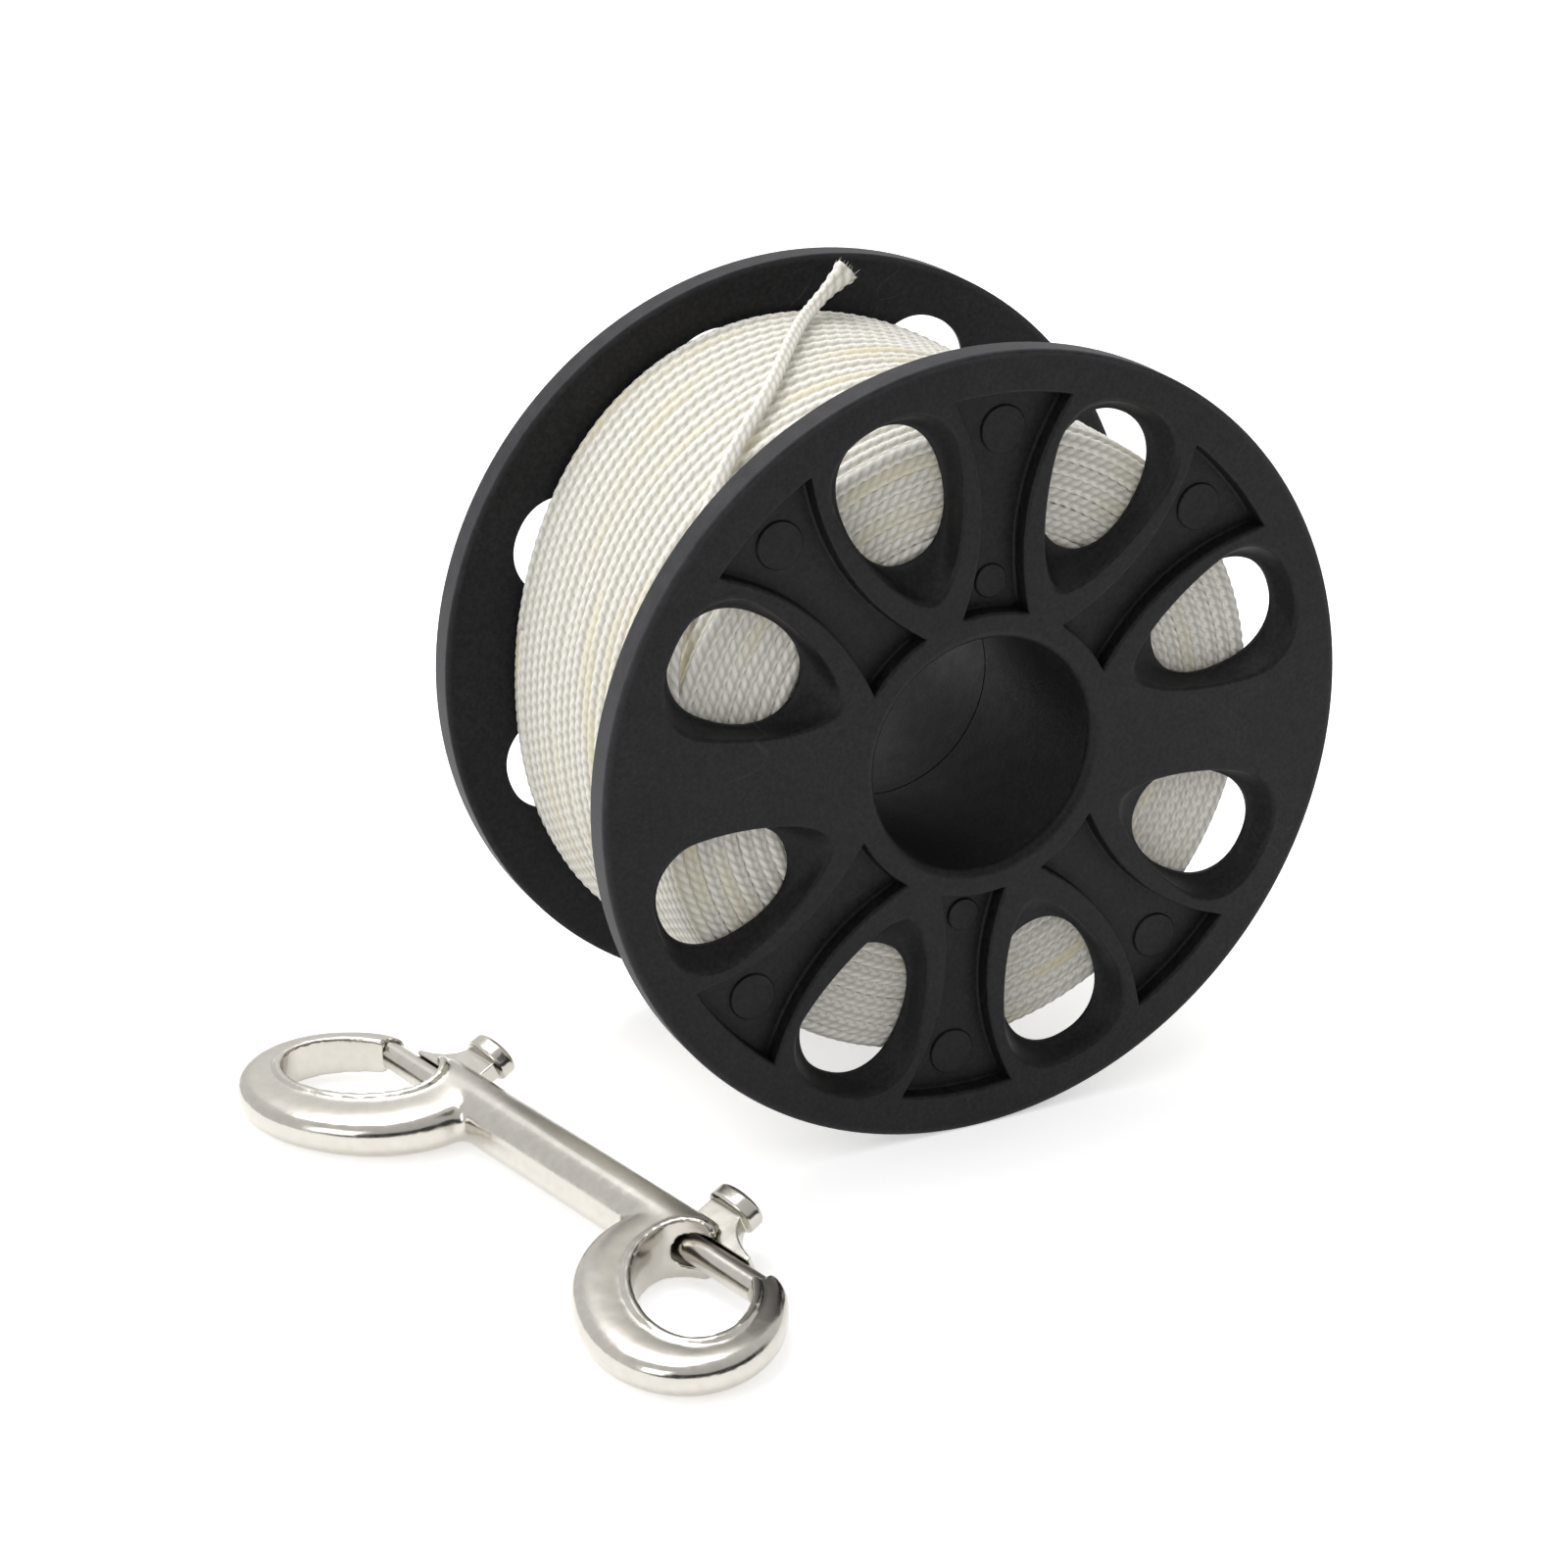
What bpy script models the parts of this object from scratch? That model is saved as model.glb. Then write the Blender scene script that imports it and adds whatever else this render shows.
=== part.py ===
"""Finger spool wound with line, and the double-ended bolt snap that lies beside it.

Two moulded halves, each a flange with half of the hub, meet in a stepped joint at mid hub. The
line fills the spool: a plain core of inner layers, one outer layer of turns, and the free tail.
The bolt snap is a cast body with an eye at each end, and two spring gates with thumb knobs.
Metres, +Z up. The front of the spool faces -Y, and the origin is the middle of the footprint.
"""

import math

import bmesh
import bpy
import numpy as np
from mathutils import Matrix, Vector

MM = 0.001
QUARTER = math.radians(90)
FULL_TURN = math.radians(360)

# Spool halves
SPOOL_WIDTH = 50.0 * MM
FLANGE_RADIUS = 47.5 * MM
FLANGE_THICKNESS = 3.5 * MM
RIM_ROUNDING = 0.5 * MM
BORE_RADIUS = 14.0 * MM
BORE_LIP_ROUNDING = 1.2 * MM
HUB_WALL = 3.0 * MM
HUB_FILLET = 0.8 * MM
JOINT_STEP_LENGTH = 4.0 * MM
PATTERN_TURN = math.radians(3.73)

# Bands of flat face that the pattern leaves round the bore and inside the rim
HUB_BAND = 3.3 * MM
RIM_BAND = 3.9 * MM

# Windows, each with a scoop that slopes down to it: radii as shares of the patterned field,
# half widths as shares of half the pitch at the widest radius
WINDOW_COUNT = 8
SCOOP_NEAR_SHARE = 0.125
SCOOP_WIDE_SHARE = 0.730
SCOOP_FAR_SHARE = 0.985
SCOOP_HALF_WIDTH_SHARE = 0.539
HOLE_NEAR_SHARE = 0.297
HOLE_WIDE_SHARE = 0.654
HOLE_FAR_SHARE = 0.932
HOLE_HALF_WIDTH_SHARE = 0.455
HOLE_LAND = 0.5 * MM
SCOOP_NEAR_POWERS = (1.3, 1.667)
SCOOP_FAR_POWERS = (2.3, 2.3)
HOLE_POWERS = (2.2, 2.2)
SCOOP_SECTION_SHARES = (0.0, 0.3, 0.65, 1.0)

# Recessed webs between the windows, with the round marks of the mould's ejector pins
RECESS_DEPTH = 2.2 * MM
RECESS_NEAR_HALF_WIDTH = 4.2 * MM
RECESS_WAIST_HALF_WIDTH = 2.85 * MM
RECESS_FAR_HALF_WIDTH = 7.3 * MM
RECESS_WAIST_SHARE = 0.44
PLAIN_WEBS = (0, 4)
MARK_HEIGHT = 0.25 * MM
MARK_ROOT = 0.6 * MM
OUTER_MARK_RADIUS = 2.6 * MM
OUTER_MARK_INSET = 4.2 * MM
INNER_MARK_RADIUS = 2.0 * MM
INNER_MARK_INSET = 3.1 * MM
INNER_MARK_WEBS = (2, 6)

# Line
LINE_DIAMETER = 1.7 * MM
TAIL_DIAMETER = 1.8 * MM
PACK_FRONT_RADIUS = 38.3 * MM
PACK_REAR_RADIUS = 40.6 * MM
PACK_LOBE_HEIGHT = 1.6 * MM
PACK_LOBE_COUNT = 3
PACK_LOBE_ANGLE = math.radians(114)
WINDING_LOOPS = 19
WINDING_END_ANGLE = math.radians(170)
FLANGE_CLEARANCE = 0.35 * MM

# Bolt snap: shaft, read along its own axis from the middle outwards
SHAFT_RADIUS = 3.75 * MM
SHAFT_HALF_LENGTH = 26.0 * MM
SHAFT_CHAMFER = 0.5 * MM
BORE_WALL = 4.5 * MM
GATE_BORE_RADIUS = 2.2 * MM

# Eyes at both ends of the shaft, an elliptical hook bent towards -X
EYE_OFFSET = 7.46 * MM
EYE_REACH = 4.92 * MM
EYE_HALF_LENGTH = 12.64 * MM
EYE_HALF_WIDTH = 8.94 * MM
EYE_TILT = math.radians(27.8)
EYE_ROOT_ANGLE = math.radians(-192)
EYE_BEND_ANGLE = math.radians(60)
NOSE_REACH = 9.2 * MM
NOSE_HALF_WIDTH = 2.2 * MM
SIDE_HALF_WIDTH = 2.6 * MM
BULGE_HALF_WIDTH = 3.3 * MM
SHOULDER_HALF_WIDTH = 4.0 * MM
ROOT_HALF_WIDTH = 4.8 * MM
ROOT_SHIFT = 1.2 * MM
SHOULDER_SHIFT = 1.0 * MM
BULGE_SHIFT = 0.4 * MM
NOSE_HALF_HEIGHT = 2.1 * MM
BULGE_HALF_HEIGHT = 2.3 * MM
SHOULDER_HALF_HEIGHT = 2.6 * MM
WEB_HALF_HEIGHT = 3.1 * MM
ROOT_HALF_HEIGHT = 3.7 * MM
EYE_STOP_SHARES = (0.0, 0.12, 0.34, 0.56, 0.84, 1.0)
EYE_SECTION_POWER = 2.4
HOLE_OFFSET = 6.6 * MM
HOLE_REACH = 5.6 * MM
HOLE_HALF_LENGTH = 9.7 * MM
HOLE_HALF_WIDTH = 6.3 * MM

# Gates: a pin on the shaft's axis, its thumb knob in a slot, and its spring
PIN_RADIUS = 1.65 * MM
PIN_TAIL = 3.0 * MM
PIN_CHAMFER = 0.3 * MM
KNOB_INSET = 2.5 * MM
KNOB_TILT = math.radians(19)
NECK_HALF_LENGTH = 3.1 * MM
NECK_HALF_THICKNESS = 1.1 * MM
FOOT_REACH = 8.3 * MM
FOOT_THICKNESS = 0.5 * MM
RAMP_BEND = 1.0 * MM
RAMP_LIFT = 1.0 * MM
KNOB_STUD_RADIUS = 0.75 * MM
KNOB_STUD_DEPTH = 1.2 * MM
KNOB_HEAD_HALF_LENGTH = 3.3 * MM
KNOB_HEAD_HALF_WIDTH = 2.3 * MM
KNOB_HEAD_HEIGHT = 1.8 * MM
KNOB_HEAD_START = 6.2 * MM
KNOB_CHAMFER = 0.4 * MM
GATE_TRAVEL = 8.5 * MM
SPRING_WIRE = 0.6 * MM
SPRING_CURLS = 7

# Where the snap lies, from the middle of the spool
SNAP_X = -50.3 * MM
SNAP_Y = -18.7 * MM
SNAP_HEADING = math.radians(12.9)

# Clearance of pieces that touch, overrun of cuts, and merge distance of closed turned shapes
SEAT_GAP = 0.3 * MM
OVERRUN = 1.0 * MM
MERGE = 0.001 * MM

# Smoothness
ROUND_STEPS = 64
SMALL_ROUND_STEPS = 24
KNOB_ROUND_STEPS = 16
TINY_ROUND_STEPS = 12
FILLET_STEPS = 2
RIM_STEPS = 1
WINDOW_STEPS = 18
RECESS_STEPS = 6
LOOP_POINTS = 24
CURL_POINTS = 8
HOLE_SIDES = 32
RAMP_STEPS = 5
EYE_STATIONS = 20
NOSE_STATIONS = 3
EYE_SIDES = 12
SHARP_ANGLE = math.radians(35)
FLAT_ANGLE = math.radians(0.1)

# Free tail, from the middle of the spool: over the turns from the front, then up past them
TAIL_ROUTE = [
    Vector((-36.72, -20.2, 11.23)) * MM,
    Vector((-36.45, -19.6, 15.47)) * MM,
    Vector((-34.42, -17.6, 19.88)) * MM,
    Vector((-31.73, -14.6, 24.35)) * MM,
    Vector((-28.50, -11.3, 28.50)) * MM,
    Vector((-25.03, -8.2, 32.03)) * MM,
    Vector((-21.12, -5.2, 35.14)) * MM,
    Vector((-17.02, -2.0, 37.69)) * MM,
    Vector((-13.75, 1.4, 39.26)) * MM,
    Vector((-10.48, 5.4, 40.52)) * MM,
    Vector((-7.16, 9.7, 41.44)) * MM,
    Vector((-4.04, 13.6, 41.96)) * MM,
    Vector((-1.48, 16.4, 42.32)) * MM,
    Vector((0.90, 17.8, 43.50)) * MM,
    Vector((2.60, 18.3, 44.60)) * MM,
    Vector((4.30, 18.5, 45.90)) * MM,
]
TAIL_POINT_SPACING = 4.5 * MM

# Sizes that follow from those above
HALF_WIDTH = SPOOL_WIDTH / 2
INNER_FACE = HALF_WIDTH - FLANGE_THICKNESS
HUB_RADIUS = BORE_RADIUS + HUB_WALL
FIELD_NEAR = BORE_RADIUS + HUB_BAND
FIELD_SPAN = FLANGE_RADIUS - RIM_BAND - FIELD_NEAR
HALF_PITCH_SLOPE = math.tan(FULL_TURN / WINDOW_COUNT / 2)
LINE_RADIUS = LINE_DIAMETER / 2
TURN_FRONT = INNER_FACE - FLANGE_CLEARANCE - LINE_RADIUS
SAG_SHARE = math.cos(FULL_TURN / LOOP_POINTS / 2)
EYE_ALONG = SHAFT_HALF_LENGTH + EYE_REACH
NOSE_ALONG = SHAFT_HALF_LENGTH + NOSE_REACH
HOLE_ALONG = SHAFT_HALF_LENGTH + HOLE_REACH
PIN_TIP = NOSE_ALONG - SEAT_GAP
KNOB_ALONG = SHAFT_HALF_LENGTH - KNOB_INSET
PIN_INNER_END = KNOB_ALONG - PIN_TAIL
SLOT_HALF_WIDTH = NECK_HALF_THICKNESS + SEAT_GAP
SLOT_INNER_END = KNOB_ALONG - NECK_HALF_LENGTH - GATE_TRAVEL - SEAT_GAP
SPRING_START = BORE_WALL + SEAT_GAP
SPRING_END = PIN_INNER_END - SEAT_GAP
SPRING_RADIUS = GATE_BORE_RADIUS - SEAT_GAP - SPRING_WIRE / 2


def clear_scene():
    """Empty the scene without closing the file."""
    for item in list(bpy.data.objects):
        bpy.data.objects.remove(item, do_unlink=True)


def make_material(name, colour, roughness, metallic):
    """A Principled material with a linear RGB colour."""
    material = bpy.data.materials.new(name)
    material.use_nodes = True
    shader = material.node_tree.nodes["Principled BSDF"]
    shader.inputs["Base Color"].default_value = (*colour, 1.0)
    shader.inputs["Roughness"].default_value = roughness
    shader.inputs["Metallic"].default_value = metallic
    material.diffuse_color = (*colour, 1.0)
    return material


def add_empty(name, parent, place):
    """A named frame that carries other pieces."""
    empty = bpy.data.objects.new(name, None)
    bpy.context.scene.collection.objects.link(empty)
    empty.parent = parent
    empty.matrix_local = place
    return empty


def add_object(name, data, material, parent, place):
    """Link a piece under its parent at its place."""
    data.name = name
    data.materials.append(material)
    piece = bpy.data.objects.new(name, data)
    bpy.context.scene.collection.objects.link(piece)
    piece.parent = parent
    piece.matrix_local = place
    return piece


def finish_mesh(name, bm):
    """Close a bmesh into a mesh with outward normals, smooth on its round faces."""
    bmesh.ops.remove_doubles(bm, verts=bm.verts, dist=MERGE)
    bmesh.ops.recalc_face_normals(bm, faces=bm.faces)
    mesh = bpy.data.meshes.new(name)
    bm.to_mesh(mesh)
    bm.free()
    mesh.shade_smooth()
    mesh.set_sharp_from_angle(angle=SHARP_ANGLE)
    return mesh


def boolean(target, operand, operation):
    """Cut the operand from the target, or join it to the target."""
    operand.hide_render = True
    operand.display_type = "WIRE"
    modifier = target.modifiers.new(operand.name, "BOOLEAN")
    modifier.operation = operation
    modifier.solver = "EXACT"
    modifier.object = operand


def join_flat_faces(piece):
    """Join the flat fragments that the cuts leave."""
    modifier = piece.modifiers.new("flat_faces", "DECIMATE")
    modifier.decimate_type = "DISSOLVE"
    modifier.angle_limit = FLAT_ANGLE


def arc(centre, radius, start, end, steps=FILLET_STEPS):
    """Points of an arc in a flat outline."""
    angles = np.linspace(start, end, steps + 1)
    return [(centre[0] + radius * math.cos(a), centre[1] + radius * math.sin(a)) for a in angles]


def turned(name, outline, steps):
    """Spin a (radius, height) outline about Z, closed by itself or from axis to axis."""
    bm = bmesh.new()
    verts = [bm.verts.new((radius, 0, height)) for radius, height in outline]
    pairs = [(verts[i - 1], verts[i]) for i in range(len(verts))]
    edges = [bm.edges.new(pair) for pair in pairs if max(vert.co.x for vert in pair) > 0]
    bmesh.ops.spin(bm, geom=verts + edges, cent=(0, 0, 0), axis=(0, 0, 1), angle=FULL_TURN,
                   steps=steps, use_merge=True)
    return finish_mesh(name, bm)


def add_loft(bm, rings):
    """Extrude the first ring's face through the others, closed at both ends."""
    first = bm.faces.new([bm.verts.new(point) for point in rings[0]])
    face = first
    for ring in rings[1:]:
        made = bmesh.ops.extrude_face_region(bm, geom=[face])["geom"]
        if face is not first:
            bmesh.ops.delete(bm, geom=[face], context="FACES_ONLY")
        face = next(item for item in made if isinstance(item, bmesh.types.BMFace))
        for vert, point in zip(face.verts, ring):
            vert.co = point


def level(outline, height):
    """A flat outline as points at one height."""
    return [Vector((x, y, height)) for x, y in outline]


def web_turn(index):
    """The turn of a pattern step about the hub, from the first web."""
    return Matrix.Rotation(index * FULL_TURN / WINDOW_COUNT, 4, "Z")


def half_outline(step_side):
    """The turned outline of a half: bore, lip, face, rim, flange, hub and its stepped joint.

    The step side is 1 where the outer part of the hub wall reaches past mid hub, and -1 where
    it stays short of it to let the other half in.
    """
    lip = (BORE_RADIUS + BORE_LIP_ROUNDING, HALF_WIDTH - BORE_LIP_ROUNDING)
    rim_radius = FLANGE_RADIUS - RIM_ROUNDING
    rim_top = (rim_radius, HALF_WIDTH - RIM_ROUNDING)
    rim_bottom = (rim_radius, INNER_FACE + RIM_ROUNDING)
    fillet = (HUB_RADIUS + HUB_FILLET, INNER_FACE - HUB_FILLET)
    step_radius = BORE_RADIUS + HUB_WALL / 2
    seam = SEAT_GAP / 2
    outer_end = seam - step_side * JOINT_STEP_LENGTH
    points = [(BORE_RADIUS, seam)]
    points += arc(lip, BORE_LIP_ROUNDING, 2 * QUARTER, QUARTER)
    points += arc(rim_top, RIM_ROUNDING, QUARTER, 0, RIM_STEPS)
    points += arc(rim_bottom, RIM_ROUNDING, 0, -QUARTER, RIM_STEPS)
    points += arc(fillet, HUB_FILLET, QUARTER, 2 * QUARTER)
    points += [(HUB_RADIUS, outer_end)]
    points += [(step_radius + step_side * seam, outer_end)]
    points += [(step_radius + step_side * seam, seam)]
    return points


def superellipse(share, powers):
    """Unit point of a superellipse quarter curve carried round all four quarters."""
    angle = share * FULL_TURN
    along = abs(math.cos(angle)) ** (2 / powers[0])
    across = abs(math.sin(angle)) ** (2 / powers[1])
    return math.copysign(along, math.cos(angle)), math.copysign(across, math.sin(angle))


def window_outline(inset):
    """The window's outline, from the scoop's edge (inset 0) to the hole's edge (inset 1)."""
    def blend(scoop, hole):
        return scoop + (hole - scoop) * inset

    near = FIELD_NEAR + FIELD_SPAN * blend(SCOOP_NEAR_SHARE, HOLE_NEAR_SHARE)
    wide = FIELD_NEAR + FIELD_SPAN * blend(SCOOP_WIDE_SHARE, HOLE_WIDE_SHARE)
    far = FIELD_NEAR + FIELD_SPAN * blend(SCOOP_FAR_SHARE, HOLE_FAR_SHARE)
    half_width = wide * HALF_PITCH_SLOPE * blend(SCOOP_HALF_WIDTH_SHARE, HOLE_HALF_WIDTH_SHARE)
    near_powers = [blend(*pair) for pair in zip(SCOOP_NEAR_POWERS, HOLE_POWERS)]
    far_powers = [blend(*pair) for pair in zip(SCOOP_FAR_POWERS, HOLE_POWERS)]
    points = []
    for step in range(WINDOW_STEPS):
        share = step / WINDOW_STEPS
        outwards = math.cos(share * FULL_TURN) > 0
        along, across = superellipse(share, far_powers if outwards else near_powers)
        reach = far - wide if outwards else wide - near
        points.append((wide + reach * along, half_width * across))
    return points


def window_cutter():
    """All windows with their scoops, each a loft from the outer face down through the flange."""
    rings = [level(window_outline(0), HALF_WIDTH + OVERRUN)]
    for inset in SCOOP_SECTION_SHARES:
        depth = (FLANGE_THICKNESS - HOLE_LAND) * math.sin(inset * QUARTER)
        rings.append(level(window_outline(inset), HALF_WIDTH - depth))
    rings.append(level(window_outline(1), INNER_FACE - OVERRUN))
    bm = bmesh.new()
    for index in range(WINDOW_COUNT):
        turn = web_turn(index + 0.5)
        add_loft(bm, [[turn @ point for point in ring] for ring in rings])
    return finish_mesh("window_cutter", bm)


def recess_outline():
    """A recessed web: bowed sides that leave a lip round the windows, and round ends."""
    near = FIELD_NEAR
    far = FIELD_NEAR + FIELD_SPAN
    waist = FIELD_NEAR + FIELD_SPAN * RECESS_WAIST_SHARE
    bow = np.polyfit((near / far, waist / far, 1),
                     (RECESS_NEAR_HALF_WIDTH, RECESS_WAIST_HALF_WIDTH, RECESS_FAR_HALF_WIDTH), 2)
    side = []
    for radius in np.linspace(near, far, RECESS_STEPS + 1):
        half_width = float(np.polyval(bow, radius / far))
        side.append((math.sqrt(radius ** 2 - half_width ** 2), half_width))
    far_angle = math.asin(RECESS_FAR_HALF_WIDTH / far)
    near_angle = math.asin(RECESS_NEAR_HALF_WIDTH / near)
    far_end = arc((0, 0), far, far_angle, -far_angle, 2 * FILLET_STEPS)[1:-1]
    near_end = arc((0, 0), near, -near_angle, near_angle, 2 * FILLET_STEPS)[1:-1]
    return side + far_end + [(x, -y) for x, y in reversed(side)] + near_end


def recess_cutter():
    """The recessed webs, all but the plain ones."""
    outline = recess_outline()
    rings = [level(outline, HALF_WIDTH + OVERRUN), level(outline, HALF_WIDTH - RECESS_DEPTH)]
    bm = bmesh.new()
    for index in range(WINDOW_COUNT):
        if index not in PLAIN_WEBS:
            turn = web_turn(index)
            add_loft(bm, [[turn @ point for point in ring] for ring in rings])
    return finish_mesh("recess_cutter", bm)


def ejector_marks():
    """Raised discs on the recess floors: a large one on each, a small one on two of them."""
    floor = HALF_WIDTH - RECESS_DEPTH
    outer_place = FLANGE_RADIUS - RIM_BAND - OUTER_MARK_INSET
    inner_place = FIELD_NEAR + INNER_MARK_INSET
    bm = bmesh.new()
    for index in range(WINDOW_COUNT):
        discs = []
        if index not in PLAIN_WEBS:
            discs.append((outer_place, OUTER_MARK_RADIUS))
        if index in INNER_MARK_WEBS:
            discs.append((inner_place, INNER_MARK_RADIUS))
        for place, radius in discs:
            rim = arc((place, 0), radius, 0, FULL_TURN, TINY_ROUND_STEPS)[:-1]
            rings = [level(rim, floor - MARK_ROOT), level(rim, floor + MARK_HEIGHT)]
            add_loft(bm, [[web_turn(index) @ point for point in ring] for ring in rings])
    return finish_mesh("ejector_marks", bm)


def build_half(name, step_side, material, parent, place):
    """One moulded half: a turned body with its windows, recessed webs and ejector marks."""
    half = add_object(name, turned(name, half_outline(step_side), ROUND_STEPS), material, parent, place)
    level_place = Matrix.Identity(4)
    for label, mesh, operation in (("windows", window_cutter(), "DIFFERENCE"),
                                   ("recesses", recess_cutter(), "DIFFERENCE"),
                                   ("marks", ejector_marks(), "UNION")):
        operand = add_object(name + "_" + label, mesh, material, half, level_place)
        boolean(half, operand, operation)
    join_flat_faces(half)


def add_tube(name, points, diameter, sides_level, material, parent, place):
    """A closed tube along points, as a curve with a round bevel and filled caps."""
    curve = bpy.data.curves.new(name, "CURVE")
    curve.dimensions = "3D"
    curve.bevel_depth = diameter / 2
    curve.bevel_resolution = sides_level
    curve.use_fill_caps = True
    spline = curve.splines.new("POLY")
    spline.points.add(len(points) - 1)
    for spline_point, point in zip(spline.points, points):
        spline_point.co = (*point, 1.0)
    spline.use_smooth = True
    return add_object(name, curve, material, parent, place)


def least_gap(points, diameter, loop_points):
    """The least gap of a coiled tube to itself, measured on points half a loop apart or more."""
    cloud = np.array([tuple(point) for point in points])
    apart = loop_points // 2
    spans = [np.linalg.norm(cloud[i + apart:] - cloud[i], axis=1).min()
             for i in range(len(cloud) - apart)]
    return float(min(spans)) - diameter


def turn_radius(along, angle):
    """Centre radius of the outer turns: round at the front (along 0), lobed at the rear (1)."""
    lobe = PACK_LOBE_HEIGHT * math.cos(PACK_LOBE_COUNT * (angle - PACK_LOBE_ANGLE))
    rear = PACK_REAR_RADIUS + lobe
    return PACK_FRONT_RADIUS + (rear - PACK_FRONT_RADIUS) * along - LINE_RADIUS


def build_line_core(material, parent):
    """The inner layers of line as one plain ring between the flanges, under the outer turns."""
    end = INNER_FACE - SEAT_GAP
    inner = HUB_RADIUS + SEAT_GAP
    blank = (inner + FLANGE_RADIUS) / 2
    outline = [(inner, -end + HUB_FILLET), (inner, end - HUB_FILLET), (inner + HUB_FILLET, end),
               (blank, end), (blank, -end), (inner + HUB_FILLET, -end)]
    mesh = turned("line_core", outline, ROUND_STEPS)
    for vert in mesh.vertices:
        radius = vert.co.xy.length
        if radius > blank - MERGE:
            along = (1 - vert.co.z / end) / 2
            outer = turn_radius(along, math.atan2(vert.co.y, vert.co.x)) * SAG_SHARE
            scale = (outer - LINE_RADIUS - SEAT_GAP) / radius
            vert.co.x *= scale
            vert.co.y *= scale
    add_object("line_core", mesh, material, parent, Matrix.Rotation(QUARTER, 4, "X"))


def winding_points():
    """The outer layer as one tube, from the rear flange to the front, with straight ends."""
    count = WINDING_LOOPS * LOOP_POINTS
    points = []
    for step in range(count + 1):
        share = step / count
        angle = WINDING_END_ANGLE + (1 - share) * WINDING_LOOPS * FULL_TURN
        radius = turn_radius(1 - share, angle)
        axial = TURN_FRONT * (1 - 2 * share)
        points.append(Vector((radius * math.cos(angle), axial, radius * math.sin(angle))))
    first = (points[0] - points[1]).normalized()
    last = (points[-1] - points[-2]).normalized()
    return [points[0] + first * LINE_DIAMETER] + points + [points[-1] + last * LINE_DIAMETER]


def smooth_route(route, spacing):
    """Even points on a smooth curve through the route's own points."""
    ends = [2 * route[0] - route[1]] + list(route) + [2 * route[-1] - route[-2]]
    fine = []
    for before, start, end, after in zip(ends, ends[1:], ends[2:], ends[3:]):
        for t in np.linspace(0, 1, LOOP_POINTS, endpoint=False):
            drift = (end - before) * t + (2 * before - 5 * start + 4 * end - after) * t ** 2
            fine.append(start + (drift + (3 * start - before - 3 * end + after) * t ** 3) / 2)
    fine.append(route[-1])
    cloud = np.array([tuple(point) for point in fine])
    lengths = np.concatenate(([0], np.cumsum(np.linalg.norm(np.diff(cloud, axis=0), axis=1))))
    stops = np.linspace(0, lengths[-1], round(lengths[-1] / spacing) + 1)
    return [Vector([np.interp(stop, lengths, cloud[:, axis]) for axis in range(3)]) for stop in stops]


def build_line(material, parent):
    """The wound line and its free tail."""
    build_line_core(material, parent)
    turns = winding_points()
    level_place = Matrix.Identity(4)
    add_tube("line_winding", turns, LINE_DIAMETER, 1, material, parent, level_place)
    print("line_winding least gap, mm", round(least_gap(turns, LINE_DIAMETER, LOOP_POINTS) / MM, 3))
    leaving = (turns[-1] - turns[-2]).normalized()
    start = turns[-1] + leaving * SEAT_GAP
    route = [start, start + leaving * TAIL_DIAMETER] + TAIL_ROUTE
    tail = [start] + smooth_route(route[1:], TAIL_POINT_SPACING)
    add_tube("line_tail", tail, TAIL_DIAMETER, 2, material, parent, level_place)


def shaft_outline():
    """The plain round shaft, from end to end."""
    rim = SHAFT_RADIUS - SHAFT_CHAMFER
    inset = SHAFT_HALF_LENGTH - SHAFT_CHAMFER
    return [(0, -SHAFT_HALF_LENGTH), (rim, -SHAFT_HALF_LENGTH), (SHAFT_RADIUS, -inset),
            (SHAFT_RADIUS, inset), (rim, SHAFT_HALF_LENGTH), (0, SHAFT_HALF_LENGTH)]


def oval_point(offset, along, half_length, half_width, angle):
    """A point on an oval tilted with the eyes, as an (across, along) pair, and its tangent."""
    long_way = Vector((-math.sin(EYE_TILT), math.cos(EYE_TILT)))
    short_way = Vector((math.cos(EYE_TILT), math.sin(EYE_TILT)))
    reach = half_length * math.cos(angle) * long_way + half_width * math.sin(angle) * short_way
    tangent = (half_width * math.cos(angle) * short_way
               - half_length * math.sin(angle) * long_way)
    return Vector((-offset, along)) + reach, tangent.normalized()


def eye_path():
    """The eye's centre line: round the ellipse, then bent onto the shaft's axis at the nose."""
    path = [oval_point(EYE_OFFSET, EYE_ALONG, EYE_HALF_LENGTH, EYE_HALF_WIDTH, angle)
            for angle in np.linspace(EYE_ROOT_ANGLE, EYE_BEND_ANGLE, EYE_STATIONS)]
    start, heading = path[-1]
    bend = start - heading * (start.x / heading.x)
    nose = Vector((0, NOSE_ALONG))
    for share in np.linspace(0, 1, NOSE_STATIONS + 1)[1:]:
        point = start.lerp(bend, share).lerp(bend.lerp(nose, share), share)
        tangent = (bend.lerp(nose, share) - start.lerp(bend, share)).normalized()
        path.append((point, tangent))
    return path


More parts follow.
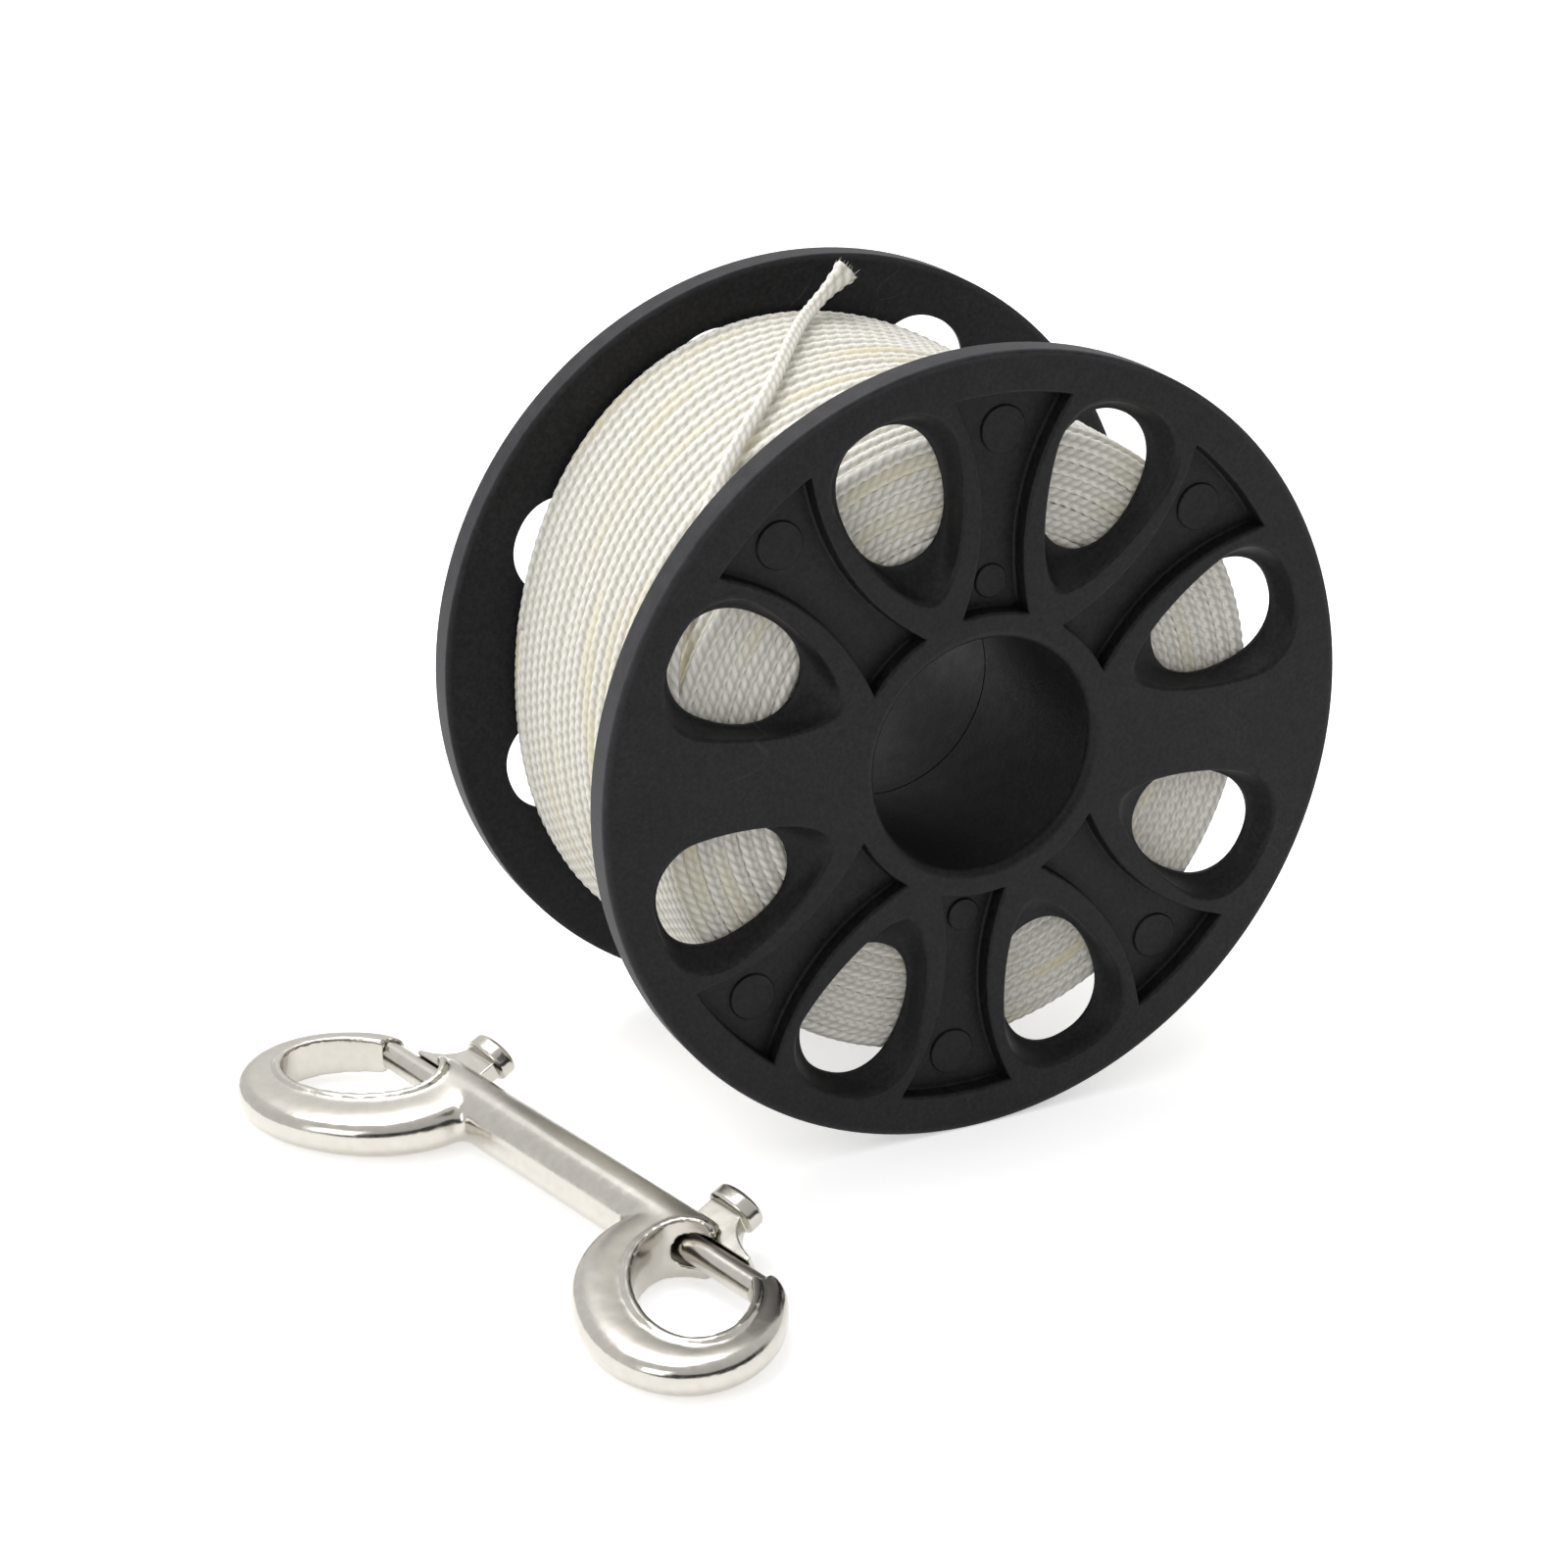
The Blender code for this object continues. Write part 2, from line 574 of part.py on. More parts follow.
def eye_rings(side):
    """Sections of an eye, widest at its root in the shaft and slimmest at its nose."""
    path = eye_path()
    widths = (ROOT_HALF_WIDTH, ROOT_HALF_WIDTH, SHOULDER_HALF_WIDTH, BULGE_HALF_WIDTH,
              SIDE_HALF_WIDTH, NOSE_HALF_WIDTH)
    heights = (ROOT_HALF_HEIGHT, WEB_HALF_HEIGHT, SHOULDER_HALF_HEIGHT, BULGE_HALF_HEIGHT,
               BULGE_HALF_HEIGHT, NOSE_HALF_HEIGHT)
    shifts = (ROOT_SHIFT, ROOT_SHIFT, SHOULDER_SHIFT, BULGE_SHIFT, 0, 0)
    rings = []
    for index, (point, tangent) in enumerate(path):
        share = index / (len(path) - 1)
        half_width, half_height, shift = [float(np.interp(share, EYE_STOP_SHARES, values))
                                          for values in (widths, heights, shifts)]
        inwards = Vector((tangent.y, -tangent.x))
        ring = []
        for step in range(EYE_SIDES):
            across, up = superellipse((step + 0.5) / EYE_SIDES, (EYE_SECTION_POWER,) * 2)
            flat = point + inwards * (shift + half_width * across)
            ring.append(Vector((flat.x, side * flat.y, half_height * up)))
        rings.append(ring)
    return rings


def gate_frame(side):
    """The frame of a gate: +Z from mid shaft out to the nose, +X the way the knob stands."""
    return Matrix.Rotation(-KNOB_TILT, 4, "Y") @ Matrix.Rotation(-side * QUARTER, 4, "X")


def round_rod(radius, bottom, top):
    """A turned outline of a plain rod."""
    return [(0, bottom), (radius, bottom), (radius, top), (0, top)]


def hole_mesh(name, side):
    """The oval through an eye, cut square through the casting and the shaft's end."""
    outline = []
    for step in range(HOLE_SIDES):
        angle = (step + 0.5) / HOLE_SIDES * FULL_TURN
        point = oval_point(HOLE_OFFSET, HOLE_ALONG, HOLE_HALF_LENGTH, HOLE_HALF_WIDTH, angle)[0]
        outline.append((point.x, side * point.y))
    reach = SHAFT_RADIUS + OVERRUN
    bm = bmesh.new()
    add_loft(bm, [level(outline, -reach), level(outline, reach)])
    return finish_mesh(name, bm)


def slot_mesh(name):
    """The knob's slot: flat-sided, round at its inner end, open at the shaft's end."""
    back = arc((0, SLOT_INNER_END), SLOT_HALF_WIDTH, 2 * QUARTER, 4 * QUARTER, 2 * FILLET_STEPS)
    mouth = SHAFT_HALF_LENGTH + OVERRUN
    outline = back + [(SLOT_HALF_WIDTH, mouth), (-SLOT_HALF_WIDTH, mouth)]
    bm = bmesh.new()
    add_loft(bm, [[Vector((x, y, z)) for y, z in outline] for x in (0, SHAFT_RADIUS + OVERRUN)])
    return finish_mesh(name, bm)


def build_snap_body(material, parent):
    """The cast body: shaft, both eyes and their holes, and the bore and slot of each gate."""
    along_shaft = Matrix.Rotation(-QUARTER, 4, "X")
    shaft = turned("snap_body", shaft_outline(), SMALL_ROUND_STEPS)
    shaft.transform(along_shaft)
    body = add_object("snap_body", shaft, material, parent, Matrix.Identity(4))
    bm = bmesh.new()
    for side in (-1, 1):
        add_loft(bm, eye_rings(side))
    eyes = add_object("snap_eyes", finish_mesh("snap_eyes", bm), material, body, Matrix.Identity(4))
    boolean(body, eyes, "UNION")
    bore = round_rod(GATE_BORE_RADIUS, BORE_WALL, SHAFT_HALF_LENGTH + OVERRUN)
    for name, side in (("front", -1), ("rear", 1)):
        hole = hole_mesh(name + "_hole", side)
        hole_cutter = add_object(hole.name, hole, material, body, Matrix.Identity(4))
        boolean(body, hole_cutter, "DIFFERENCE")
        bore_mesh = turned(name + "_bore", bore, SMALL_ROUND_STEPS)
        for mesh in (bore_mesh, slot_mesh(name + "_slot")):
            cutter = add_object(mesh.name, mesh, material, body, gate_frame(side))
            boolean(body, cutter, "DIFFERENCE")


def pin_outline():
    """The gate's pin, chamfered at the tip that meets the nose."""
    return [(0, PIN_INNER_END), (PIN_RADIUS, PIN_INNER_END), (PIN_RADIUS, PIN_TIP - PIN_CHAMFER),
            (PIN_RADIUS - PIN_CHAMFER, PIN_TIP), (0, PIN_TIP)]


def neck_mesh(name):
    """The knob's neck, a slab with a hollow ramp for the thumb that ends in a foot."""
    foot = PIN_RADIUS + SEAT_GAP
    top = KNOB_HEAD_START + KNOB_CHAMFER
    start = Vector((KNOB_HEAD_START, NECK_HALF_LENGTH))
    end = Vector((foot + FOOT_THICKNESS, FOOT_REACH))
    bend = Vector((foot + FOOT_THICKNESS + RAMP_LIFT, NECK_HALF_LENGTH + RAMP_BEND))
    ramp = [start.lerp(bend, share).lerp(bend.lerp(end, share), share)
            for share in np.linspace(0, 1, RAMP_STEPS + 1)]
    outline = [(top, -NECK_HALF_LENGTH), (top, NECK_HALF_LENGTH)] + [tuple(p) for p in ramp]
    outline += [(foot, FOOT_REACH), (foot, -NECK_HALF_LENGTH)]
    bm = bmesh.new()
    add_loft(bm, [[Vector((x, y, z)) for x, z in outline]
                  for y in (-NECK_HALF_THICKNESS, NECK_HALF_THICKNESS)])
    return finish_mesh(name, bm)


def head_mesh(name):
    """The knob's oval head, chamfered below and domed above."""
    head_end = KNOB_HEAD_START + KNOB_HEAD_HEIGHT
    rings = []
    for height, inset in ((KNOB_HEAD_START, KNOB_CHAMFER), (KNOB_HEAD_START + KNOB_CHAMFER, 0),
                          (head_end - 2 * KNOB_CHAMFER, 0), (head_end - KNOB_CHAMFER / 2, KNOB_CHAMFER),
                          (head_end, 3 * KNOB_CHAMFER)):
        ring = []
        for step in range(KNOB_ROUND_STEPS):
            angle = (step + 0.5) / KNOB_ROUND_STEPS * FULL_TURN
            ring.append(Vector((height, (KNOB_HEAD_HALF_WIDTH - inset) * math.cos(angle),
                                (KNOB_HEAD_HALF_LENGTH - inset) * math.sin(angle))))
        rings.append(ring)
    bm = bmesh.new()
    add_loft(bm, rings)
    return finish_mesh(name, bm)


def spring_points():
    """The gate spring's curls, from the bore's bottom to the pin, with straight ends."""
    count = SPRING_CURLS * CURL_POINTS
    lead = SPRING_WIRE
    low = SPRING_START + SPRING_WIRE / 2
    high = SPRING_END - SPRING_WIRE / 2
    points = []
    for step in range(count + 1):
        angle = step / CURL_POINTS * FULL_TURN
        height = low + (high - low) * step / count
        points.append(Vector((SPRING_RADIUS * math.cos(angle), SPRING_RADIUS * math.sin(angle), height)))
    first = (points[0] - points[1]).normalized()
    last = (points[-1] - points[-2]).normalized()
    return [points[0] + first * lead] + points + [points[-1] + last * lead]


def build_gate(name, side, metal, wire, parent):
    """A gate: its pin with a cross hole, the knob in that hole, and the spring behind it."""
    frame = add_empty("gate_" + name + "_slide", parent, gate_frame(side))
    level_place = Matrix.Identity(4)
    knob_place = Matrix.Translation((0, 0, KNOB_ALONG))
    stud_place = Matrix.Rotation(QUARTER, 4, "Y")
    pin_mesh = turned("pin", pin_outline(), KNOB_ROUND_STEPS)
    pin = add_object("gate_pin_" + name, pin_mesh, metal, frame, level_place)
    cross_rod = round_rod(KNOB_STUD_RADIUS + SEAT_GAP, PIN_RADIUS - KNOB_STUD_DEPTH - SEAT_GAP,
                          PIN_RADIUS + OVERRUN)
    cross_mesh = turned("cross_hole", cross_rod, TINY_ROUND_STEPS)
    cross_cutter = add_object("gate_hole_" + name, cross_mesh, metal, pin, knob_place @ stud_place)
    boolean(pin, cross_cutter, "DIFFERENCE")
    knob = add_object("gate_knob_" + name, head_mesh("head"), metal, frame, knob_place)
    neck = add_object("neck_" + name, neck_mesh("neck"), metal, knob, level_place)
    boolean(knob, neck, "UNION")
    stud_rod = round_rod(KNOB_STUD_RADIUS, PIN_RADIUS - KNOB_STUD_DEPTH, PIN_RADIUS + 2 * SEAT_GAP)
    stud_mesh = turned("stud", stud_rod, TINY_ROUND_STEPS)
    stud = add_object("stud_" + name, stud_mesh, metal, knob, stud_place)
    boolean(knob, stud, "UNION")
    curls = spring_points()
    add_tube("gate_spring_" + name, curls, SPRING_WIRE, 1, wire, frame, level_place)
    gap = least_gap(curls, SPRING_WIRE, CURL_POINTS)
    print("gate_spring_" + name + " least gap, mm", round(gap / MM, 3))


def snap_place():
    """Where the snap rests: on both bulges of its eyes and on its shaft."""
    across = EYE_HALF_LENGTH * math.sin(EYE_TILT)
    bulge = EYE_OFFSET + math.hypot(across, EYE_HALF_WIDTH * math.cos(EYE_TILT))
    lean = math.asin((SHAFT_RADIUS - BULGE_HALF_HEIGHT) / (bulge + BULGE_HALF_WIDTH / 2))
    position = Matrix.Translation((SNAP_X, SNAP_Y, SHAFT_RADIUS - FLANGE_RADIUS))
    return position @ Matrix.Rotation(SNAP_HEADING, 4, "Z") @ Matrix.Rotation(-lean, 4, "Y")


def stand_on_origin(root, loose_names):
    """Move the assembly so that its rigid pieces stand on the floor, centred on the origin."""
    bpy.context.view_layer.update()
    graph = bpy.context.evaluated_depsgraph_get()
    corners = []
    for item in bpy.data.objects:
        if item.type in {"MESH", "CURVE"} and not item.hide_render and item.name not in loose_names:
            mesh = item.evaluated_get(graph).to_mesh()
            corners += [item.matrix_world @ vert.co for vert in mesh.vertices]
            item.evaluated_get(graph).to_mesh_clear()
    low = Vector([min(corner[axis] for corner in corners) for axis in range(3)])
    high = Vector([max(corner[axis] for corner in corners) for axis in range(3)])
    middle = (low + high) / 2
    root.location = (-middle.x, -middle.y, -low.z)
    bpy.context.view_layer.update()


def main():
    """Build the whole assembly."""
    clear_scene()
    plastic = make_material("black_plastic", (0.020, 0.021, 0.023), 0.55, 0.0)
    line = make_material("braided_line", (0.80, 0.76, 0.64), 0.85, 0.0)
    metal = make_material("polished_nickel", (0.72, 0.68, 0.62), 0.16, 1.0)
    wire = make_material("spring_steel", (0.55, 0.55, 0.54), 0.30, 1.0)
    root = add_empty("assembly_root", None, Matrix.Identity(4))
    spool = add_empty("spool_axis", root, Matrix.Identity(4))
    turn = Matrix.Rotation(PATTERN_TURN, 4, "Y")
    build_half("spool_front_half", 1, plastic, spool, turn @ Matrix.Rotation(QUARTER, 4, "X"))
    build_half("spool_rear_half", -1, plastic, spool, turn @ Matrix.Rotation(-QUARTER, 4, "X"))
    build_line(line, spool)
    snap = add_empty("snap_axis", root, snap_place())
    build_snap_body(metal, snap)
    build_gate("front", -1, metal, wire, snap)
    build_gate("rear", 1, metal, wire, snap)
    stand_on_origin(root, {"line_tail"})


main()
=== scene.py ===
"""Dresses a finger spool full of braided line, and the double-ended bolt snap beside it.

Each operator in the Finger Spool panel makes one piece or one group of like pieces round the
loaded frame, and the last one sets the table with its lights and camera. Sizes are in metres,
+Z is up, and the front of the spool faces -Y.
"""

from math import asin, atan2, copysign, cos, hypot, radians, sin, sqrt, tan

import bmesh
import bpy
import numpy as np
from mathutils import Matrix, Vector, noise


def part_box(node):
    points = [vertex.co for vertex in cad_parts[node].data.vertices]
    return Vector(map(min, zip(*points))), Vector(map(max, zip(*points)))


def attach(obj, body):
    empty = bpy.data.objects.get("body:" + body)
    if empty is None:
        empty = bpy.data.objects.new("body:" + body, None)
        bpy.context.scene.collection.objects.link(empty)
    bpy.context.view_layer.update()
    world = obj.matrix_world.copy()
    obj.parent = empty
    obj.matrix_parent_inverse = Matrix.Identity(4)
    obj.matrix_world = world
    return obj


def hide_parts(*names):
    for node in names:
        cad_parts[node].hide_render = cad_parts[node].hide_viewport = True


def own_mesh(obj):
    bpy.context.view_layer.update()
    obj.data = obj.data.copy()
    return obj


bl_info = {
    "name": "Finger Spool",
    "version": (1, 0, 0),
    "blender": (4, 5, 0),
    "location": "View3D > Sidebar > Finger Spool",
    "description": "Builds a finger spool with braided line and a bolt snap",
    "category": "Object",
}

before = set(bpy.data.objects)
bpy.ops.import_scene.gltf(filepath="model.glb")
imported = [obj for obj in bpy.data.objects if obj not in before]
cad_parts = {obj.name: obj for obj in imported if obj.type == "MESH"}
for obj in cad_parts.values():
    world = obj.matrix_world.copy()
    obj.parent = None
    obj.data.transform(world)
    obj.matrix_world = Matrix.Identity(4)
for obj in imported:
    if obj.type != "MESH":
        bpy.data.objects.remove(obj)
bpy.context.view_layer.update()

MM = 0.001
QUARTER = radians(90)
HALF_TURN = radians(180)
FULL_TURN = radians(360)


def spool_middle():
    """The middle of the spool, from the boxes of its two halves."""
    front_low, front_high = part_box("spool_front_half")
    rear_low, rear_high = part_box("spool_rear_half")
    low = Vector([min(pair) for pair in zip(front_low, rear_low)])
    high = Vector([max(pair) for pair in zip(front_high, rear_high)])
    return (low + high) / 2


SPOOL_MIDDLE = spool_middle()

# Spool halves
SPOOL_WIDTH = 50.0 * MM
FLANGE_RADIUS = 47.5 * MM
FLANGE_THICKNESS = 3.5 * MM
BORE_RADIUS = 14.0 * MM
BORE_LIP_ROUNDING = 1.2 * MM
HUB_WALL = 3.0 * MM
HUB_FILLET = 0.8 * MM
SEAM = 0.06 * MM
SEAM_ROUNDING = 0.12 * MM
PATTERN_TURN = radians(3.73)
HUB_BAND = 3.3 * MM
RIM_BAND = 3.9 * MM
WINDOW_COUNT = 8
# Near end, widest place, far end (of the field's span) and half width (of half a pitch)
SCOOP_SHARES = (0.125, 0.730, 0.985, 0.539)
HOLE_SHARES = (0.297, 0.654, 0.932, 0.455)
HOLE_LAND = 0.5 * MM
SCOOP_NEAR_POWERS = (1.3, 1.667)
SCOOP_FAR_POWERS = (2.3, 2.3)
HOLE_POWERS = (2.2, 2.2)
RECESS_DEPTH = 2.2 * MM
RECESS_NEAR_HALF_WIDTH = 4.2 * MM
RECESS_WAIST_HALF_WIDTH = 2.85 * MM
RECESS_FAR_HALF_WIDTH = 7.3 * MM
RECESS_WAIST_SHARE = 0.44
RECESS_FLOOR_FILLET = 0.35 * MM
RECESS_RIM = 1.0 * MM
RECESSED_WEBS = (1, 2, 3, 5, 6, 7)
MARK_HEIGHT = 0.28 * MM
MARK_ROOT = 0.6 * MM
MARK_ROUNDING = 0.12 * MM
OUTER_MARK_RADIUS = 2.8 * MM
OUTER_MARK_INSET = 5.6 * MM
INNER_MARK_RADIUS = 2.0 * MM
INNER_MARK_INSET = 3.1 * MM
INNER_MARK_WEBS = (2, 6)

# Line on the spool
TAIL_DIAMETER = 1.8 * MM
PACK_FRONT_RADIUS = 38.3 * MM
PACK_REAR_RADIUS = 40.6 * MM
PACK_LOBE_HEIGHT = 1.6 * MM
PACK_LOBE_COUNT = 3
PACK_LOBE_ANGLE = radians(114)
WINDING_END_ANGLE = radians(170)
FLANGE_CLEARANCE = 0.1 * MM
TURN_SWAY = 0.35 * MM
TURN_LIFT = 0.22 * MM
CALM_ENDS = 4
SIDE_SWAY = 0.12 * MM
# Lumps round a turn, how far the noise moves on with each turn, and where it starts
SWAY_LUMPS = 2
SWAY_STEP = 0.22
LIFT_LUMPS = 3
LIFT_STEP = 0.9
LIFT_START = 40
SIDE_SPACING = 0.85
SIDE_SWAY_STEP = 0.8
SIDE_SWAY_START = 9
SIDE_LIFT_START = 70
BED_DEPTH = 1.25 * MM
BED_END_SHARE = 0.9
BED_HUB_GAP = 0.1 * MM

# Bolt snap, read along its own axis from the middle outwards
SHAFT_RADIUS = 3.75 * MM
SHAFT_HALF_LENGTH = 26.0 * MM
SHAFT_ROUNDING = 0.5 * MM
BORE_WALL = 4.5 * MM
GATE_BORE_RADIUS = 2.2 * MM
EYE_OFFSET = 7.46 * MM
EYE_REACH = 5.3 * MM
EYE_HALF_LENGTH = 12.9 * MM
EYE_HALF_WIDTH = 8.94 * MM
EYE_TILT = radians(27.8)
EYE_ROOT_ANGLE = radians(-192)
EYE_BEND_ANGLE = radians(60)
NOSE_REACH = 9.2 * MM
EYE_STOP_SHARES = (0.0, 0.12, 0.34, 0.56, 0.84, 1.0)
EYE_HALF_WIDTHS = np.array((4.8, 4.8, 4.0, 3.3, 2.6, 2.2)) * MM
EYE_HALF_HEIGHTS = np.array((3.5, 3.0, 2.6, 2.3, 2.3, 2.1)) * MM
EYE_SHIFTS = np.array((1.2, 1.2, 1.0, 0.4, 0.0, 0.0)) * MM
EYE_INNER_POWER = 6.0
EYE_OUTER_POWER = 2.8
HOLE_OFFSET = 6.6 * MM
HOLE_REACH = 6.1 * MM
HOLE_HALF_LENGTH = 10.3 * MM
HOLE_HALF_WIDTH = 6.3 * MM
BEAD_WIDTH = 0.9 * MM
BEAD_HEIGHT = 0.5 * MM
CAST_VOXEL = 0.235 * MM
CAST_SMOOTHING = 3
BEAD_VOXEL = 2 * CAST_VOXEL
ROOT_VOXEL = 0.3 * MM
ROOT_SMOOTHING = 45
PIN_RADIUS = 1.65 * MM
PIN_TAIL = 3.0 * MM
NOTCH_DEPTH = 1.0 * MM
NOTCH_GAP = 0.12 * MM
KNOB_INSET = 2.5 * MM
KNOB_TILT = radians(19)
NECK_HALF_LENGTH = 2.6 * MM
NECK_HALF_THICKNESS = 1.1 * MM
FOOT_REACH = 8.3 * MM
FOOT_THICKNESS = 0.5 * MM
RAMP_BEND = 1.0 * MM
RAMP_LIFT = 1.0 * MM
KNOB_HEAD_HALF_LENGTH = 3.6 * MM
KNOB_HEAD_HALF_WIDTH = 2.6 * MM
KNOB_HEAD_HEIGHT = 2.5 * MM
KNOB_HEAD_START = 5.6 * MM
KNOB_ROUNDING = 0.8 * MM
KNOB_VOXEL = 0.11 * MM
KNOB_SMOOTHING = 2
GATE_TRAVEL = 8.5 * MM
SPRING_WIRE = 0.6 * MM
SPRING_CURLS = 7
SEAT_GAP = 0.3 * MM
SLOT_SPARE = 1.0 * MM
SNAP_X = -50.3 * MM
SNAP_Y = -18.7 * MM
SNAP_HEADING = radians(12.9)

# Overrun of cuts, and merge distance
OVERRUN = 1.0 * MM
MERGE = 0.001 * MM

# Smoothness
MOULDED_CREASE = radians(35)
CAST_CREASE = radians(60)
ROUND_STEPS = 192
SMALL_ROUND_STEPS = 64
FILLET_STEPS = 6
SMALL_FILLET_STEPS = 3
SEAM_STEPS = 2
WINDOW_STEPS = 88
SCOOP_STEPS = 10
RECESS_STEPS = 24
TUBE_SIDES_LEVEL = 6
TUBE_SIDES = 16
WIRE_SIDES_LEVEL = 3
EYE_STATIONS = 70
NOSE_STATIONS = 12
NOSE_TAPER_SHARE = 0.8
EYE_SIDES = 48
HOLE_STEPS = 96
RAMP_STEPS = 16

# Braid
STITCH_POINTS = 4
BRAID_COLUMNS = 4
STITCH_SLANT = 1.2
SEAM_LEAN = 0.9
RIDGE_POWER = 0.7
CROWN_POWER = 0.6
CROWN_FOOT = 0.25
RELIEF_LEVEL = 0.8
STAIN_LENGTH = 18.0 * MM
STAIN_GAIN = 2.2
STAIN_LOSS = 0.15
TURN_STRETCHES = 3
SIDE_SEED = 20
TAIL_SEED = 30

# End of the free tail
ROUTE_POINTS = 24
TAIL_FLARE = 2.0
TAIL_FLARE_LENGTH = 5.0 * MM
TAIL_FLARE_POWER = 1.5
FILAMENTS = 36
FILAMENT_LENGTH = 1.6 * MM
FILAMENT_SHORTEST = 0.5
FILAMENT_STEP = 0.7
FILAMENT_SIDES = 3
FILAMENT_RADIUS = 0.05 * MM
FILAMENT_TAPER = (1.0, 0.8, 0.3)
FILAMENT_ROOT = 0.4
FILAMENT_SPREAD = 0.35
FILAMENT_SAG = 0.05
GOLDEN_ANGLE = radians(137.5)

# Finishes
# Width and strength of the painted highlight round the flanges' rims
RIM_HIGHLIGHT_WIDTH = 0.9 * MM
RIM_HIGHLIGHT_SHARE = 0.55
SCRATCH_SPACING = 17 * MM
SCRATCH_WIDTH = 0.004
SCRATCH_BEND = (0.02, 0.02, 0.02)
SCRATCH_SHARE = 0.22
ACETAL_ROUGHNESS = (0.44, 0.62)
SATIN_FACINGS = (0.75, 0.97)
SATIN_ROUGHNESS = 0.34
POLISH_SPREAD = (0.8, 1.5)
NOISE_MIDDLE = (0.3, 0.7)

# Stage
TABLE_HALF_SIZE = 3.0
TABLE_DROP = 0.05 * MM
TABLE_LIFT = 0.5
ROOM_DIM = 0.6
ROOM_PALE = 0.85
ROOM_FLAG = 0.05
# Directions over which the room turns pale, the screen sets in, and it ends above
ROOM_TURN = (-0.9, 0.5)
SCREEN_SIDE = (-0.15, -0.4)
SCREEN_TOP = (0.42, 0.36)
TOP_LIGHT_PLACE = Vector((-0.10, 0.25, 0.75))
TOP_LIGHT_SIZE = 0.55
SIDE_LIGHT_PLACE = Vector((-0.75, -0.25, 0.35))
SIDE_LIGHT_SIZE = 0.4
WHITE = (1.0, 1.0, 1.0, 1.0)

# Free tail, from the middle of the spool: over the turns from the front, then up past them
TAIL_ROUTE = (
    (-36.72, -20.2, 11.23), (-36.45, -19.6, 15.47), (-34.42, -17.6, 19.88), (-31.73, -14.6, 24.35),
    (-28.50, -11.3, 28.50), (-25.03, -8.2, 32.03), (-21.12, -5.2, 35.14), (-17.02, -2.0, 37.69),
    (-13.75, 1.4, 39.26), (-10.48, 5.4, 40.52), (-7.16, 9.7, 41.44), (-4.04, 13.6, 41.96),
    (-1.48, 16.4, 42.32), (0.90, 17.8, 43.50), (2.60, 18.3, 44.60), (4.30, 18.5, 45.90),
)

# Camera, from the middle of the spool
CAMERA_AZIMUTH = radians(-26.385)
CAMERA_ELEVATION = radians(22.873)
CAMERA_DISTANCE = 429.23 * MM
CAMERA_RIGHT = -11.806 * MM
CAMERA_UP = -11.829 * MM
CAMERA_LENS = 82.43
CAMERA_SENSOR = 36.0

# Sizes that follow from those above
HALF_WIDTH = SPOOL_WIDTH / 2
INNER_FACE = HALF_WIDTH - FLANGE_THICKNESS
HUB_RADIUS = BORE_RADIUS + HUB_WALL
FIELD_NEAR = BORE_RADIUS + HUB_BAND
FIELD_SPAN = FLANGE_RADIUS - RIM_BAND - FIELD_NEAR
HALF_PITCH_SLOPE = tan(FULL_TURN / WINDOW_COUNT / 2)
SCOOP_DEPTH = FLANGE_THICKNESS - HOLE_LAND
EYE_ALONG = SHAFT_HALF_LENGTH + EYE_REACH
NOSE_ALONG = SHAFT_HALF_LENGTH + NOSE_REACH
HOLE_ALONG = SHAFT_HALF_LENGTH + HOLE_REACH
PIN_TIP = NOSE_ALONG - SEAT_GAP
KNOB_ALONG = SHAFT_HALF_LENGTH - KNOB_INSET
PIN_INNER_END = KNOB_ALONG - PIN_TAIL
SLOT_HALF_WIDTH = NECK_HALF_THICKNESS + SEAT_GAP
SLOT_INNER_END = KNOB_ALONG - NECK_HALF_LENGTH - GATE_TRAVEL - SLOT_SPARE
SPRING_START = BORE_WALL + SEAT_GAP
SPRING_END = PIN_INNER_END - SEAT_GAP
SPRING_RADIUS = GATE_BORE_RADIUS - SEAT_GAP - SPRING_WIRE / 2
ROUNDING_ANGLES = np.linspace(0, QUARTER, FILLET_STEPS + 1)


def linear(code):
    """An sRGB hex colour as linear RGB."""
    channels = [int(code[i:i + 2], 16) / 255 for i in (1, 3, 5)]
    return tuple(c / 12.92 if c <= 0.04045 else ((c + 0.055) / 1.055) ** 2.4 for c in channels)


def colour(name, description, code):
    """A colour property with its default as an sRGB hex code."""
    return bpy.props.FloatVectorProperty(
        name=name, description=description, subtype="COLOR", size=3, min=0.0, max=1.0,
        default=linear(code))


def length(name, description, value):
    """A length property in metres, fine enough for parts of a millimetre."""
    return bpy.props.FloatProperty(
        name=name, description=description, unit="LENGTH", min=0.0, precision=5, default=value)


def light_power(name, description, value):
    """A property with the power of a light."""
    return bpy.props.FloatProperty(
        name=name, description=description, unit="POWER", default=value)


class SpoolSettings(bpy.types.PropertyGroup):
    """Sizes and colours of the moulded spool."""

    plastic: colour("Plastic", "Colour of the moulded plastic", "#151517")
    # Lighter colour of the real scratches, also painted round the rims as a highlight
    scuffs_and_highlight: colour("Scuffs", "Colour of the rubbed edges and scratches", "#5a5a5e")
    rim_rounding: length("Rim Rounding", "Rounding of the flange's edges", 0.4 * MM)
    edge_rounding: length("Edge Rounding", "Rounding of the windows' and webs' edges", 0.4 * MM)
    grain: length("Grain", "Width of the grain left by the mould", 0.35 * MM)


